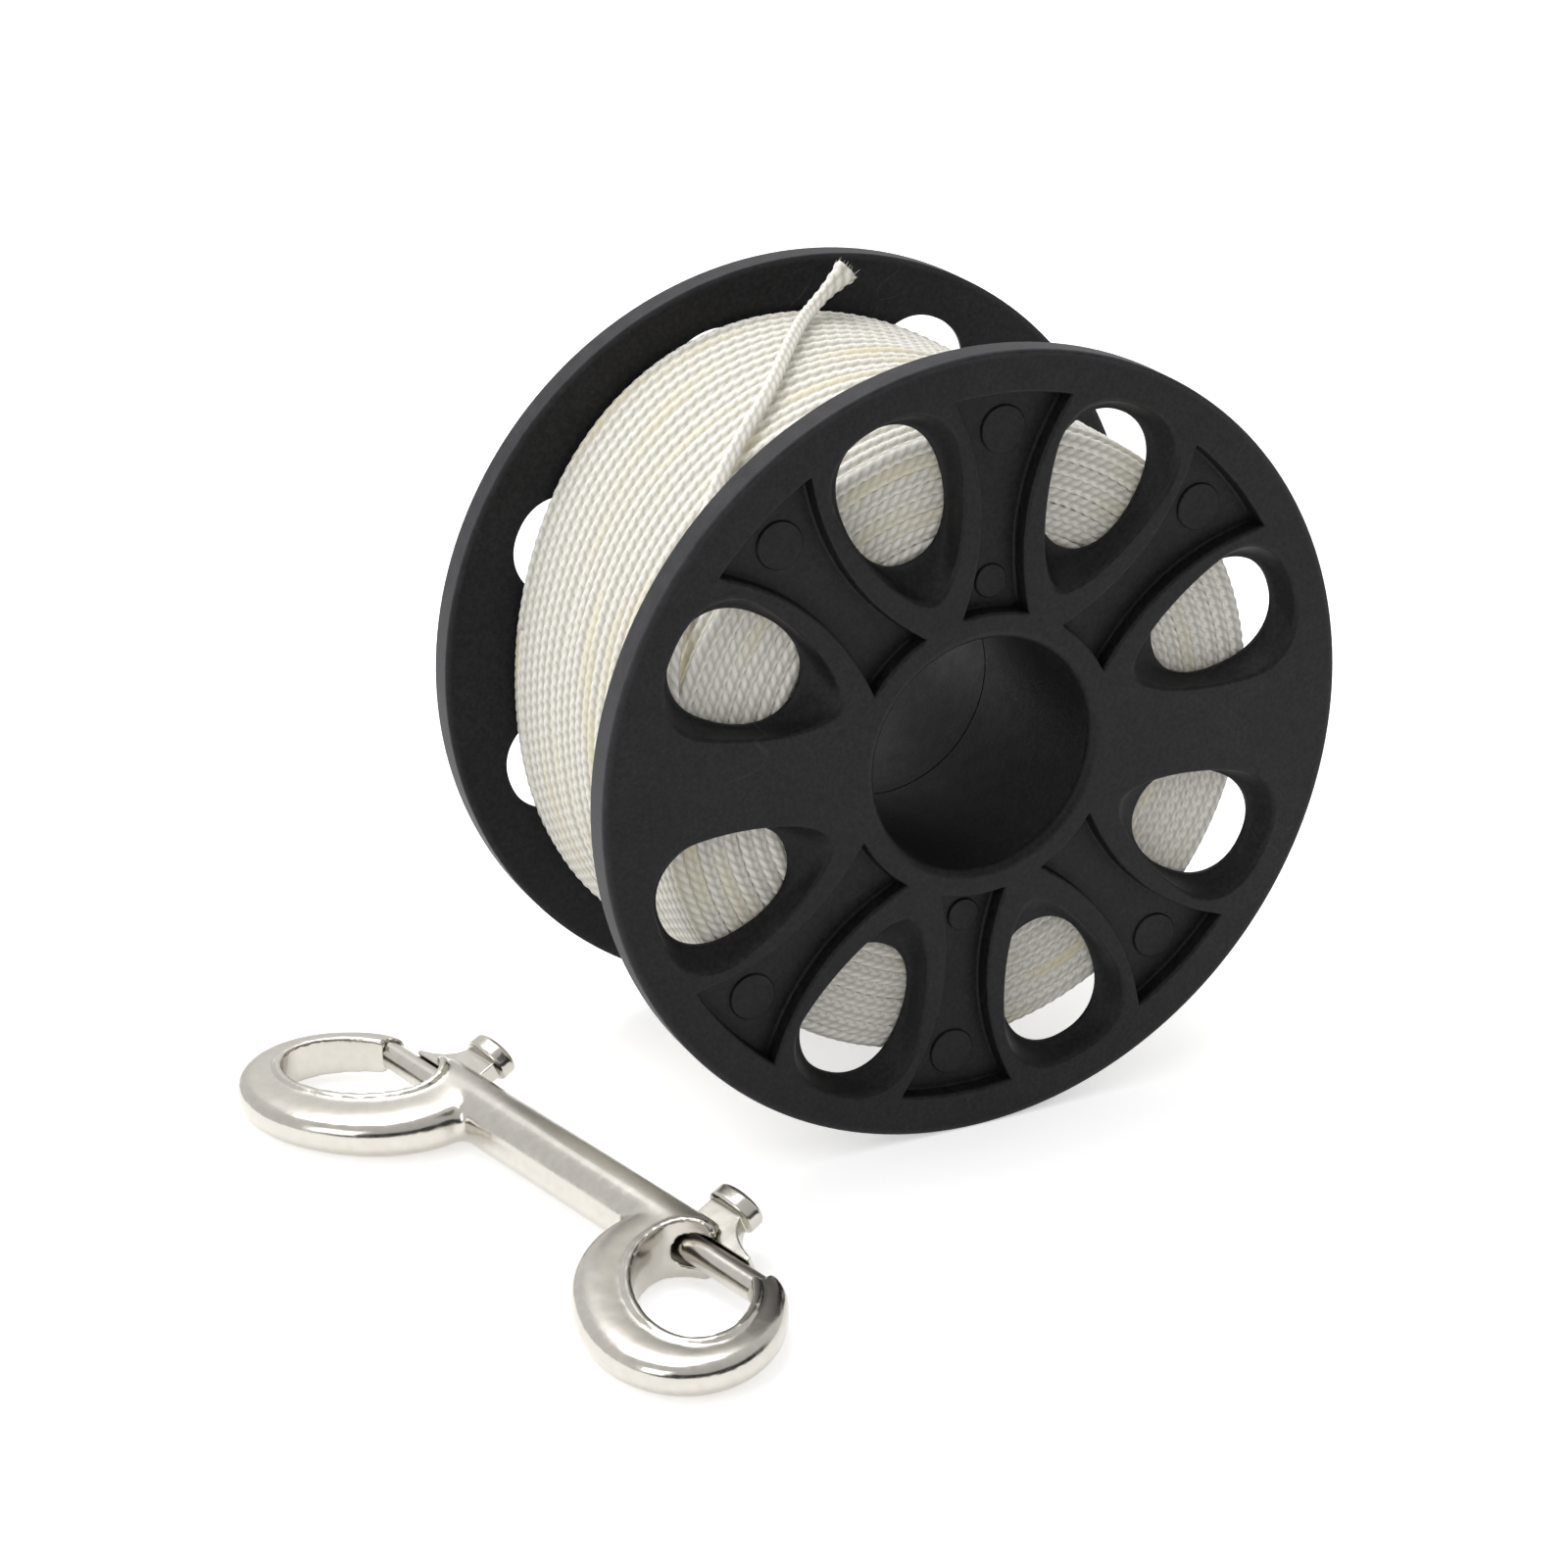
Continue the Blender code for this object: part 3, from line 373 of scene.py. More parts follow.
class LineSettings(bpy.types.PropertyGroup):
    """Sizes and colours of the braided line."""

    crown: colour("Crowns", "Colour of the strands", "#fffdf6")
    # Darker colour painted between the strands as shade
    valley_shade: colour("Valleys", "Colour between the strands", "#c6c1b4")
    tint: colour("Tint", "Colour of the yellowed stretches", "#ebe1b9")
    diameter: length("Diameter", "Diameter of the line", 1.95 * MM)
    stitch: length("Stitch", "Length of one stitch of the braid", 1.5 * MM)
    relief: length("Relief", "Height of the strands over the valleys", 0.26 * MM)
    turns: bpy.props.IntProperty(
        name="Turns", description="Turns in the outer layer", default=23, min=1)


class SnapSettings(bpy.types.PropertyGroup):
    """Sizes and colours of the bolt snap."""

    metal: colour("Metal", "Colour of the polished metal", "#c9c5bd")
    wire: colour("Spring Wire", "Colour of the springs", "#b8b6b0")
    polish: bpy.props.FloatProperty(
        name="Polish", description="Roughness of the metal", default=0.16, min=0.0, max=1.0)


class StageSettings(bpy.types.PropertyGroup):
    """Colours and powers of the table and its lights."""

    table: colour("Table", "Colour of the table", "#f4f4f4")
    top_power: light_power("Top Light", "Power of the light overhead", 3.2)
    side_power: light_power("Side Light", "Power of the light at the left", 1.2)


def connect(tree, target, inputs):
    """Set a node's inputs, each to a value, a socket or another node's first output."""
    for name, value in inputs.items():
        if isinstance(value, bpy.types.Node):
            value = value.outputs[0]
        if isinstance(value, bpy.types.NodeSocket):
            tree.links.new(value, target.inputs[name])
        else:
            target.inputs[name].default_value = value


def node(tree, kind, *first, inputs=None, **settings):
    """Add a shader node with its settings, its first inputs in order, and others by name.

    A MapRange's first inputs are the value, both ends that it comes from and both it goes to.
    """
    made = tree.nodes.new("ShaderNode" + kind)
    for name, value in settings.items():
        setattr(made, name, value)
    connect(tree, made, {**dict(enumerate(first)), **(inputs or {})})
    return made


def rgba(values):
    """A linear colour with full alpha."""
    return (*values, 1.0)


def per(size):
    """A noise scale whose lumps are about the given size across."""
    return 1.0 / size


def moulded_acetal(tree, shader, settings):
    """Injection moulded black plastic: an even matt grain from the mould, with a painted highlight on
    the rims.

    The grain breaks up every highlight, so flat faces stay dark and only turned edges shine, with a
    painted highlight on the rims.
    """
    place = node(tree, "TexCoord").outputs["Object"]
    centred = node(tree, "Mapping", place, -SPOOL_MIDDLE)
    axes = node(tree, "SeparateXYZ", centred)
    flat = node(tree, "CombineXYZ", axes, axes.outputs[2])
    radius = node(tree, "VectorMath", flat, operation="LENGTH").outputs["Value"]
    blotch = node(tree, "TexNoise", place, inputs={"Scale": per(9 * MM), "Detail": 4.0})
    patch = node(tree, "TexNoise", place, inputs={"Scale": per(2.2 * MM), "Detail": 6.0})
    # Painted highlight: the outer band of each flange is painted in the lighter scratch colour,
    # broken up by noise
    rim = node(tree, "MapRange", radius, FLANGE_RADIUS - RIM_HIGHLIGHT_WIDTH, FLANGE_RADIUS, 0.0,
               RIM_HIGHLIGHT_SHARE)
    rim_highlight = node(tree, "Math", rim, patch, operation="MULTIPLY")
    warp = node(tree, "TexNoise", centred, inputs={"Scale": per(16 * MM), "Detail": 1.0})
    bend = node(tree, "VectorMath", warp.outputs["Color"], SCRATCH_BEND, operation="MULTIPLY")
    bent = node(tree, "VectorMath", centred, bend)
    lines = node(tree, "TexVoronoi", bent, inputs={"Scale": per(SCRATCH_SPACING)},
                 feature="DISTANCE_TO_EDGE")
    hair = node(tree, "MapRange", lines, SCRATCH_WIDTH, 0.0)
    sparse = node(tree, "MapRange", blotch, 0.55, 0.68, 0.0, SCRATCH_SHARE)
    scratch = node(tree, "Math", hair, sparse, operation="MULTIPLY")
    # Real scratches, together with the painted rim highlight
    worn = node(tree, "Math", rim_highlight, scratch, operation="MAXIMUM")
    cloudy = node(tree, "MapRange", blotch, *NOISE_MIDDLE, 0.82, 1.12)
    speckle = node(tree, "TexNoise", place,
                   inputs={"Scale": per(0.6 * MM), "Detail": 3.0, "Roughness": 0.7})
    fleck = node(tree, "MapRange", speckle, 0.35, 0.68, 0.5, 1.9)
    tone = node(tree, "Math", cloudy, fleck, operation="MULTIPLY")
    base = node(tree, "VectorMath", settings.plastic, inputs={"Scale": tone}, operation="SCALE")
    skin = node(tree, "Mix", worn, inputs={6: base, 7: rgba(settings.scuffs_and_highlight)}, data_type="RGBA")
    grain = node(tree, "TexNoise", place,
                 inputs={"Scale": per(settings.grain), "Detail": 2.0, "Roughness": 0.6})
    bump = {"Height": grain, "Strength": 0.5, "Distance": 0.06 * MM}
    connect(tree, shader, {
        "Base Color": skin.outputs[2],
        "Roughness": node(tree, "MapRange", patch, 0.0, 1.0, *ACETAL_ROUGHNESS),
        "Normal": node(tree, "Bump", inputs=bump),
        "IOR": 1.48,
        "Specular IOR Level": 0.25})


def braided_nylon(tree, shader, settings):
    """Braided nylon twine: glossy filaments laid slantwise, with painted shade in the hollows between
    and yellowed stretches.
    """
    place = node(tree, "TexCoord").outputs["Object"]
    relief = node(tree, "Attribute", attribute_name="relief").outputs["Fac"]
    stain = node(tree, "Attribute", attribute_name="stain").outputs["Fac"]
    mottle = node(tree, "TexNoise", place, inputs={"Scale": per(3 * MM), "Detail": 3.0})
    # Painted shade: the low parts between the strands take the darker valley colour, by the relief
    # attribute's height
    height = node(tree, "MapRange", relief, 0.15, 0.85)
    strands = node(tree, "Mix", height, data_type="RGBA",
                   inputs={6: rgba(settings.valley_shade), 7: rgba(settings.crown)})
    aged = node(tree, "Math", stain, mottle, operation="MULTIPLY")
    tinted = node(tree, "Mix", aged, data_type="RGBA",
                  inputs={6: strands.outputs[2], 7: rgba(settings.tint)})
    threads = node(tree, "TexNoise", place, inputs={"Scale": per(0.16 * MM), "Detail": 2.0})
    bump = {"Height": threads, "Strength": 0.35, "Distance": 0.05 * MM}
    connect(tree, shader, {
        "Base Color": tinted.outputs[2],
        "Normal": node(tree, "Bump", inputs=bump),
        "Roughness": 0.55,
        "Sheen Weight": 0.25,
        "Sheen Roughness": 0.4})


def tumbled_nickel(tree, shader, settings):
    """Nickel plate over a tumbled casting: bright round edges, satin where the top lies flat.

    Slow waves bend its reflections and a fine haze greys them.
    """
    coordinates = node(tree, "TexCoord")
    place = coordinates.outputs["Object"]
    facing = node(tree, "SeparateXYZ", coordinates.outputs["Normal"]).outputs[2]
    satin = node(tree, "MapRange", facing, *SATIN_FACINGS, 0.0, SATIN_ROUGHNESS)
    waves = node(tree, "TexNoise", place, inputs={"Scale": per(5 * MM), "Detail": 2.0})
    haze = node(tree, "TexNoise", place, inputs={"Scale": per(1.2 * MM), "Detail": 5.0})
    pits = node(tree, "TexNoise", place, inputs={"Scale": per(0.3 * MM), "Detail": 2.0})
    tone = node(tree, "MapRange", haze, *NOISE_MIDDLE, 0.94, 1.03)
    spread = [settings.polish * share for share in POLISH_SPREAD]
    gloss = node(tree, "MapRange", haze, *NOISE_MIDDLE, *spread)
    wavy = node(tree, "Bump", inputs={"Height": waves, "Strength": 0.35, "Distance": 0.25 * MM})
    bump = {"Height": pits, "Strength": 0.12, "Distance": 0.02 * MM, "Normal": wavy}
    connect(tree, shader, {
        "Base Color": node(tree, "VectorMath", settings.metal, inputs={"Scale": tone},
                           operation="SCALE"),
        "Roughness": node(tree, "Math", gloss, satin, operation="MAXIMUM"),
        "Normal": node(tree, "Bump", inputs=bump),
        "Metallic": 1.0})


def drawn_steel(tree, shader, settings):
    """Drawn stainless spring wire: even, a little duller than the plate, with die lines."""
    place = node(tree, "TexCoord").outputs["Object"]
    lines = node(tree, "TexNoise", place, inputs={"Scale": per(0.2 * MM), "Detail": 3.0})
    bump = {"Height": lines, "Strength": 0.2, "Distance": 0.02 * MM}
    connect(tree, shader, {
        "Base Color": rgba(settings.wire),
        "Roughness": node(tree, "MapRange", lines, 0.0, 1.0, 0.25, 0.4),
        "Normal": node(tree, "Bump", inputs=bump),
        "Metallic": 1.0})


def white_laminate(tree, shader, settings):
    """White laminate, seen as clean white where no shadow falls."""
    rays = node(tree, "LightPath").outputs
    seen = rays["Is Camera Ray"]
    for ray in ("Is Glossy Ray", "Is Transmission Ray"):
        seen = node(tree, "Math", seen, rays[ray], operation="MAXIMUM")
    speck = node(tree, "TexNoise", inputs={"Scale": per(2 * MM)})
    connect(tree, shader, {
        "Base Color": rgba(settings.table),
        "Roughness": node(tree, "MapRange", speck, 0.0, 1.0, 0.7, 0.8),
        "Specular IOR Level": 0.2,
        "Emission Strength": node(tree, "Math", seen, TABLE_LIFT, operation="MULTIPLY"),
        "Emission Color": WHITE})


# The settings that a finish reads, and the record's slot that it fills
FINISHES = {moulded_acetal: ("spool_settings", "black_plastic"),
            braided_nylon: ("line_settings", "braided_line"),
            tumbled_nickel: ("snap_settings", "polished_nickel"),
            drawn_steel: ("snap_settings", "spring_steel")}


def material_for(finish, group):
    """The material named for a finish, made on its first use."""
    material = bpy.data.materials.get(finish.__name__)
    if not material:
        material = bpy.data.materials.new(finish.__name__)
        material.use_nodes = True
        tree = material.node_tree
        finish(tree, tree.nodes["Principled BSDF"], getattr(bpy.context.scene, group))
    return material


def new_object(name, data):
    """An object in the scene, at the origin."""
    made = bpy.data.objects.new(name, data)
    bpy.context.scene.collection.objects.link(made)
    return made


def add_piece(name, bm, matrix=Matrix.Identity(4)):
    """A piece at the origin, its place in its mesh, its doubles merged, facing outwards."""
    bmesh.ops.remove_doubles(bm, verts=bm.verts, dist=MERGE)
    bmesh.ops.recalc_face_normals(bm, faces=bm.faces)
    mesh = bpy.data.meshes.new(name)
    bm.to_mesh(mesh)
    bm.free()
    mesh.transform(matrix)
    return new_object(name, mesh)


def dress(piece, finish, body, *nodes):
    """Give a piece its finish, its body and the solids it stands for."""
    group, slot = FINISHES[finish]
    piece.data.materials.clear()
    piece.data.materials.append(material_for(finish, group))
    if nodes:
        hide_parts(*nodes)
    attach(piece, body)


def finished_mesh(piece):
    """A mesh of a piece as its modifiers or its curve make it."""
    graph = bpy.context.evaluated_depsgraph_get()
    mesh = bpy.data.meshes.new_from_object(piece.evaluated_get(graph), depsgraph=graph)
    mesh.name = piece.name
    return mesh


def apply_modifiers(piece):
    """Put the result of a piece's modifiers in its mesh."""
    mesh = finished_mesh(piece)
    piece.modifiers.clear()
    piece.data = mesh


def combine(piece, operation, *operands):
    """Cut the operands from a piece, or join them to it, and drop them."""
    for operand in operands:
        modifier = piece.modifiers.new(operand.name, "BOOLEAN")
        modifier.operation = operation
        modifier.solver = "EXACT"
        modifier.object = operand
    apply_modifiers(piece)
    for operand in operands:
        bpy.data.objects.remove(operand)


def shade(piece, angle=MOULDED_CREASE):
    """Smooth a piece, with flat faces kept flat and creases past the angle kept sharp."""
    piece.data.shade_smooth()
    piece.data.set_sharp_from_angle(angle=angle)
    weighted = piece.modifiers.new("flat_faces", "WEIGHTED_NORMAL")
    weighted.keep_sharp = True
    weighted.weight = 100
    apply_modifiers(piece)


def arc(centre, radius, start, end, steps=FILLET_STEPS):
    """Points of an arc in a flat outline."""
    angles = np.linspace(start, end, steps + 1)
    return [(centre[0] + radius * cos(a), centre[1] + radius * sin(a)) for a in angles]


def round_angles(count):
    """Even angles all the way round."""
    return np.linspace(0, FULL_TURN, count, endpoint=False)


def spun(outline, steps):
    """Spin a (radius, height) outline about Z, closed by itself or from axis to axis."""
    bm = bmesh.new()
    verts = [bm.verts.new((radius, 0, height)) for radius, height in outline]
    pairs = [(verts[i - 1], verts[i]) for i in range(len(verts))]
    edges = [bm.edges.new(pair) for pair in pairs if max(vert.co.x for vert in pair) > 0]
    bmesh.ops.spin(bm, geom=verts + edges, cent=(0, 0, 0), axis=(0, 0, 1), angle=FULL_TURN,
                   steps=steps, use_merge=True)
    return bm


def loft(bm, rings):
    """Extrude the first ring's face through the others, closed at both ends."""
    first = bm.faces.new([bm.verts.new(point) for point in rings[0]])
    face = first
    for ring in rings[1:]:
        made = bmesh.ops.extrude_face_region(bm, geom=[face])["geom"]
        if face is not first:
            bmesh.ops.delete(bm, geom=[face], context="FACES_ONLY")
        face = next(item for item in made if isinstance(item, bmesh.types.BMFace))
        for vert, point in zip(face.verts, ring):
            vert.co = point


def lofted(name, ring_sets, matrix=Matrix.Identity(4)):
    """One piece, lofted through each of several sets of rings."""
    bm = bmesh.new()
    for rings in ring_sets:
        loft(bm, rings)
    return add_piece(name, bm, matrix)


def level(outline, height):
    """A flat outline as points at one height."""
    return [Vector((x, y, height)) for x, y in outline]


def grown(outline, distance):
    """A flat outline moved outwards by a distance."""
    points = np.array(outline)
    ahead = np.roll(points, -1, axis=0) - np.roll(points, 1, axis=0)
    normals = np.stack((ahead[:, 1], -ahead[:, 0]), axis=1)
    normals /= np.linalg.norm(normals, axis=1)[:, None]
    area = np.cross(points, np.roll(points, -1, axis=0)).sum()
    return (points + copysign(distance, area * distance) * normals).tolist()


def section(outline, growth, depth):
    """An outline grown by some distance, at a depth under the flange's face."""
    return level(grown(outline, growth), HALF_WIDTH - depth)


def round_hub(rings, index):
    """Rings carried round the hub by some pattern steps, from the first web."""
    turn = Matrix.Rotation(index * FULL_TURN / WINDOW_COUNT, 4, "Z")
    return [[turn @ point for point in ring] for ring in rings]


def half_outline(rounding):
    """The turned outline of a half: bore, lip, face, rim, flange and hub up to the seam."""
    lip = (BORE_RADIUS + BORE_LIP_ROUNDING, HALF_WIDTH - BORE_LIP_ROUNDING)
    back = rounding / 2
    rim_top = (FLANGE_RADIUS - rounding, HALF_WIDTH - rounding)
    rim_bottom = (FLANGE_RADIUS - back, INNER_FACE + back)
    fillet = (HUB_RADIUS + HUB_FILLET, INNER_FACE - HUB_FILLET)
    seam = (BORE_RADIUS + SEAM_ROUNDING, SEAM / 2 + SEAM_ROUNDING)
    points = arc(seam, SEAM_ROUNDING, 3 * QUARTER, 2 * QUARTER, SEAM_STEPS)
    points += arc(lip, BORE_LIP_ROUNDING, 2 * QUARTER, QUARTER)
    points += arc(rim_top, rounding, QUARTER, 0)
    points += arc(rim_bottom, back, 0, -QUARTER, SMALL_FILLET_STEPS)
    points += arc(fillet, HUB_FILLET, QUARTER, 2 * QUARTER, SMALL_FILLET_STEPS)
    points += [(HUB_RADIUS, SEAM / 2)]
    return points


def superellipse(share, powers):
    """Unit point of a superellipse quarter curve carried round all four quarters."""
    angle = share * FULL_TURN
    along = abs(cos(angle)) ** (2 / powers[0])
    across = abs(sin(angle)) ** (2 / powers[1])
    return copysign(along, cos(angle)), copysign(across, sin(angle))


def window_outline(inset):
    """The window's outline, from the scoop's edge (inset 0) to the hole's edge (inset 1)."""
    def blend(scoop, hole):
        return [a + (b - a) * inset for a, b in zip(scoop, hole)]

    *stops, half_width_share = blend(SCOOP_SHARES, HOLE_SHARES)
    near, wide, far = [FIELD_NEAR + FIELD_SPAN * stop for stop in stops]
    half_width = wide * HALF_PITCH_SLOPE * half_width_share
    near_powers = blend(SCOOP_NEAR_POWERS, HOLE_POWERS)
    far_powers = blend(SCOOP_FAR_POWERS, HOLE_POWERS)
    points = []
    for step in range(WINDOW_STEPS):
        share = step / WINDOW_STEPS
        outwards = cos(share * FULL_TURN) > 0
        along, across = superellipse(share, far_powers if outwards else near_powers)
        reach = far - wide if outwards else wide - near
        points.append((wide + reach * along, half_width * across))
    return points


def window_cutter(rounding):
    """All windows with their scoops, whose upper edges are rounded over."""
    rings = [section(window_outline(0), rounding, -OVERRUN)]
    for angle in ROUNDING_ANGLES:
        depth = rounding * (1 - cos(angle))
        inset = asin(depth / SCOOP_DEPTH) / QUARTER
        rings.append(section(window_outline(inset), rounding * (1 - sin(angle)), depth))
    start = asin(rounding / SCOOP_DEPTH) / QUARTER
    for inset in np.linspace(start, 1, SCOOP_STEPS + 1)[1:]:
        depth = SCOOP_DEPTH * sin(inset * QUARTER)
        rings.append(level(window_outline(inset), HALF_WIDTH - depth))
    rings.append(level(window_outline(1), INNER_FACE - OVERRUN))
    return lofted("window_cutter", [round_hub(rings, i + 0.5) for i in range(WINDOW_COUNT)])


def recess_outline():
    """A recessed web: bowed sides that leave a lip round the windows, and round ends."""
    near = FIELD_NEAR
    far = near + FIELD_SPAN - RECESS_RIM
    waist = near + FIELD_SPAN * RECESS_WAIST_SHARE
    bow = np.polyfit((near / far, waist / far, 1),
                     (RECESS_NEAR_HALF_WIDTH, RECESS_WAIST_HALF_WIDTH, RECESS_FAR_HALF_WIDTH), 2)
    side = []
    for radius in np.linspace(near, far, RECESS_STEPS + 1):
        half_width = float(np.polyval(bow, radius / far))
        side.append((sqrt(radius ** 2 - half_width ** 2), half_width))
    far_angle = asin(RECESS_FAR_HALF_WIDTH / far)
    near_angle = asin(RECESS_NEAR_HALF_WIDTH / near)
    far_end = arc((0, 0), far, far_angle, -far_angle, 2 * FILLET_STEPS)[1:-1]
    near_end = arc((0, 0), near, -near_angle, near_angle, 2 * FILLET_STEPS)[1:-1]
    return side + far_end + [(x, -y) for x, y in reversed(side)] + near_end


def recess_cutter(rounding):
    """The recesses of the webs, rounded over above and filleted below."""
    outline = recess_outline()
    rings = [section(outline, rounding, -OVERRUN)]
    for angle in ROUNDING_ANGLES:
        rings.append(section(outline, rounding * (1 - sin(angle)),
                             rounding * (1 - cos(angle))))
    for angle in ROUNDING_ANGLES:
        rings.append(section(outline, -RECESS_FLOOR_FILLET * (1 - cos(angle)),
                             RECESS_DEPTH - RECESS_FLOOR_FILLET * (1 - sin(angle))))
    return lofted("recess_cutter", [round_hub(rings, index) for index in RECESSED_WEBS])


def ejector_marks():
    """Raised discs on the recess floors: a large one on each, a small one on two of them."""
    floor = HALF_WIDTH - RECESS_DEPTH
    top = floor + MARK_HEIGHT
    outer_place = FLANGE_RADIUS - RIM_BAND - OUTER_MARK_INSET
    discs = []
    for index in RECESSED_WEBS:
        discs.append((index, outer_place, OUTER_MARK_RADIUS))
        if index in INNER_MARK_WEBS:
            discs.append((index, FIELD_NEAR + INNER_MARK_INSET, INNER_MARK_RADIUS))
    marks = []
    for index, place, radius in discs:
        sections = [(radius, floor - MARK_ROOT), (radius, top - MARK_ROUNDING),
                    (radius - MARK_ROUNDING, top)]
        rings = [level(arc((place, 0), size, 0, FULL_TURN, SMALL_ROUND_STEPS)[:-1], height)
                 for size, height in sections]
        marks.append(round_hub(rings, index))
    return lofted("ejector_marks", marks)


def spool_place(side):
    """The place of a half: side -1 faces the front, 1 the rear."""
    turn = Matrix.Rotation(PATTERN_TURN, 4, "Y") @ Matrix.Rotation(-side * QUARTER, 4, "X")
    return Matrix.Translation(SPOOL_MIDDLE) @ turn


class SPOOL_OT_halves(bpy.types.Operator):
    """Make both moulded halves of the spool."""

    bl_idname = "spool.halves"
    bl_label = "Spool Halves"

    def execute(self, context):
        settings = context.scene.spool_settings
        for name, side in (("spool_front_half", -1), ("spool_rear_half", 1)):
            outline = half_outline(settings.rim_rounding)
            half = add_piece(name + "_moulding", spun(outline, ROUND_STEPS))
            combine(half, "DIFFERENCE", window_cutter(settings.edge_rounding),
                    recess_cutter(settings.edge_rounding))
            combine(half, "UNION", ejector_marks())
            half.data.transform(spool_place(side))
            shade(half)
            dress(half, moulded_acetal, "spool", name)
        return {"FINISHED"}


def turn_radius(along, angle):
    """Outside radius of the pack: round at the front (along 0), lobed at the rear (along 1)."""
    lobe = PACK_LOBE_HEIGHT * cos(PACK_LOBE_COUNT * (angle - PACK_LOBE_ANGLE))
    return PACK_FRONT_RADIUS + (PACK_REAR_RADIUS + lobe - PACK_FRONT_RADIUS) * along


def drift(*place):
    """Slow steady variation between -1 and 1."""
    return noise.noise(Vector(place))


def ring_drift(lumps, angle, place):
    """Slow variation round a turn, with more lumps the larger their number."""
    return drift(lumps * cos(angle), lumps * sin(angle), place)


def polar(radius, angle, axial):
    """A point round the spool's axis, at a distance along it from the middle."""
    return SPOOL_MIDDLE + Vector((radius * cos(angle), axial, radius * sin(angle)))


def outer_turns(settings):
    """The route of the outer layer, from the rear flange to the front."""
    spacing = settings.stitch / STITCH_POINTS
    radius = settings.diameter / 2
    reach = INNER_FACE - FLANGE_CLEARANCE - radius
    count = round(settings.turns * FULL_TURN * PACK_FRONT_RADIUS / spacing)
    points = []
    for step in range(count + 1):
        share = step / count
        turn = (1 - share) * settings.turns
        angle = WINDING_END_ANGLE + turn * FULL_TURN
        free = min(1.0, CALM_ENDS * min(share, 1 - share))
        sway = ring_drift(SWAY_LUMPS, angle, turn * SWAY_STEP) * TURN_SWAY * free
        lift = ring_drift(LIFT_LUMPS, angle, turn * LIFT_STEP + LIFT_START) * TURN_LIFT
        outside = turn_radius(1 - share, angle) - radius + lift * free
        points.append(polar(outside, angle, reach * (1 - 2 * share) + sway))
    return points


def side_turns(settings, side):
    """The route of one side face of the pack, a flat spiral from the hub to the outer layer's end."""
    radius = settings.diameter / 2
    spacing = settings.stitch / STITCH_POINTS
    along = 0.5 + side / 2
    inner = HUB_RADIUS + settings.diameter
    mean = PACK_FRONT_RADIUS + (PACK_REAR_RADIUS - PACK_FRONT_RADIUS) * along
    turns = (mean - inner - radius) / (settings.diameter * SIDE_SPACING)
    end_angle = WINDING_END_ANGLE + along * settings.turns * FULL_TURN
    count = round(turns * HALF_TURN * (inner + mean) / spacing)
    points = []
    start = inner / mean
    for step in range(count + 1):
        share = sqrt((step / count) * (1 - start ** 2) + start ** 2)
        share = (share - start) / (1 - start)
        angle = end_angle + side * (1 - share) * turns * FULL_TURN
        outside = turn_radius(along, angle) - radius
        sway = ring_drift(SWAY_LUMPS, angle,
                          share * turns * SIDE_SWAY_STEP + SIDE_SWAY_START * side)
        across = inner + (outside - inner) * share + sway * SIDE_SWAY
        depth = abs(ring_drift(LIFT_LUMPS, angle, share * turns + SIDE_LIFT_START))
        axial = INNER_FACE - FLANGE_CLEARANCE - radius - depth * TURN_LIFT
        points.append(polar(across, angle, side * axial))
    return points


def close_ends(mesh):
    """Close a mesh's open ends and point its faces outwards."""
    bm = bmesh.new()
    bm.from_mesh(mesh)
    bmesh.ops.holes_fill(bm, edges=[edge for edge in bm.edges if edge.is_boundary])
    bmesh.ops.recalc_face_normals(bm, faces=bm.faces)
    bm.to_mesh(mesh)
    bm.free()


def tube(name, points, diameter, sides_level):
    """A closed round tube along points, as a mesh in rings."""
    curve = bpy.data.curves.new(name, "CURVE")
    curve.dimensions = "3D"
    curve.bevel_depth = diameter / 2
    curve.bevel_resolution = sides_level
    curve.use_fill_caps = False
    spline = curve.splines.new("POLY")
    spline.points.add(len(points) - 1)
    flat = np.ones((len(points), 4))
    flat[:, :3] = points
    spline.points.foreach_set("co", flat.ravel())
    spline.use_smooth = True
    holder = new_object(name, curve)
    mesh = finished_mesh(holder)
    bpy.data.objects.remove(holder)
    bpy.data.curves.remove(curve)
    close_ends(mesh)
    return new_object(name, mesh)


def seam_facings(points):
    """Directions from the spool's axis that lean to the front."""
    out = (np.array(points) - np.array(SPOOL_MIDDLE)) * (1, 0, 1)
    return out / np.linalg.norm(out, axis=1)[:, None] - (0, SEAM_LEAN, 0)


def spokes(points, facings):
    """Unit vectors round a line at each of its points, the first one nearest to a facing."""
    along = np.gradient(np.array(points), axis=0)
    along /= np.linalg.norm(along, axis=1)[:, None]
    out = facings - (facings * along).sum(axis=1)[:, None] * along
    out /= np.linalg.norm(out, axis=1)[:, None]
    beside = np.cross(along, out)
    angles = round_angles(TUBE_SIDES)[None, :, None]
    return np.cos(angles) * out[:, None, :] + np.sin(angles) * beside[:, None, :]


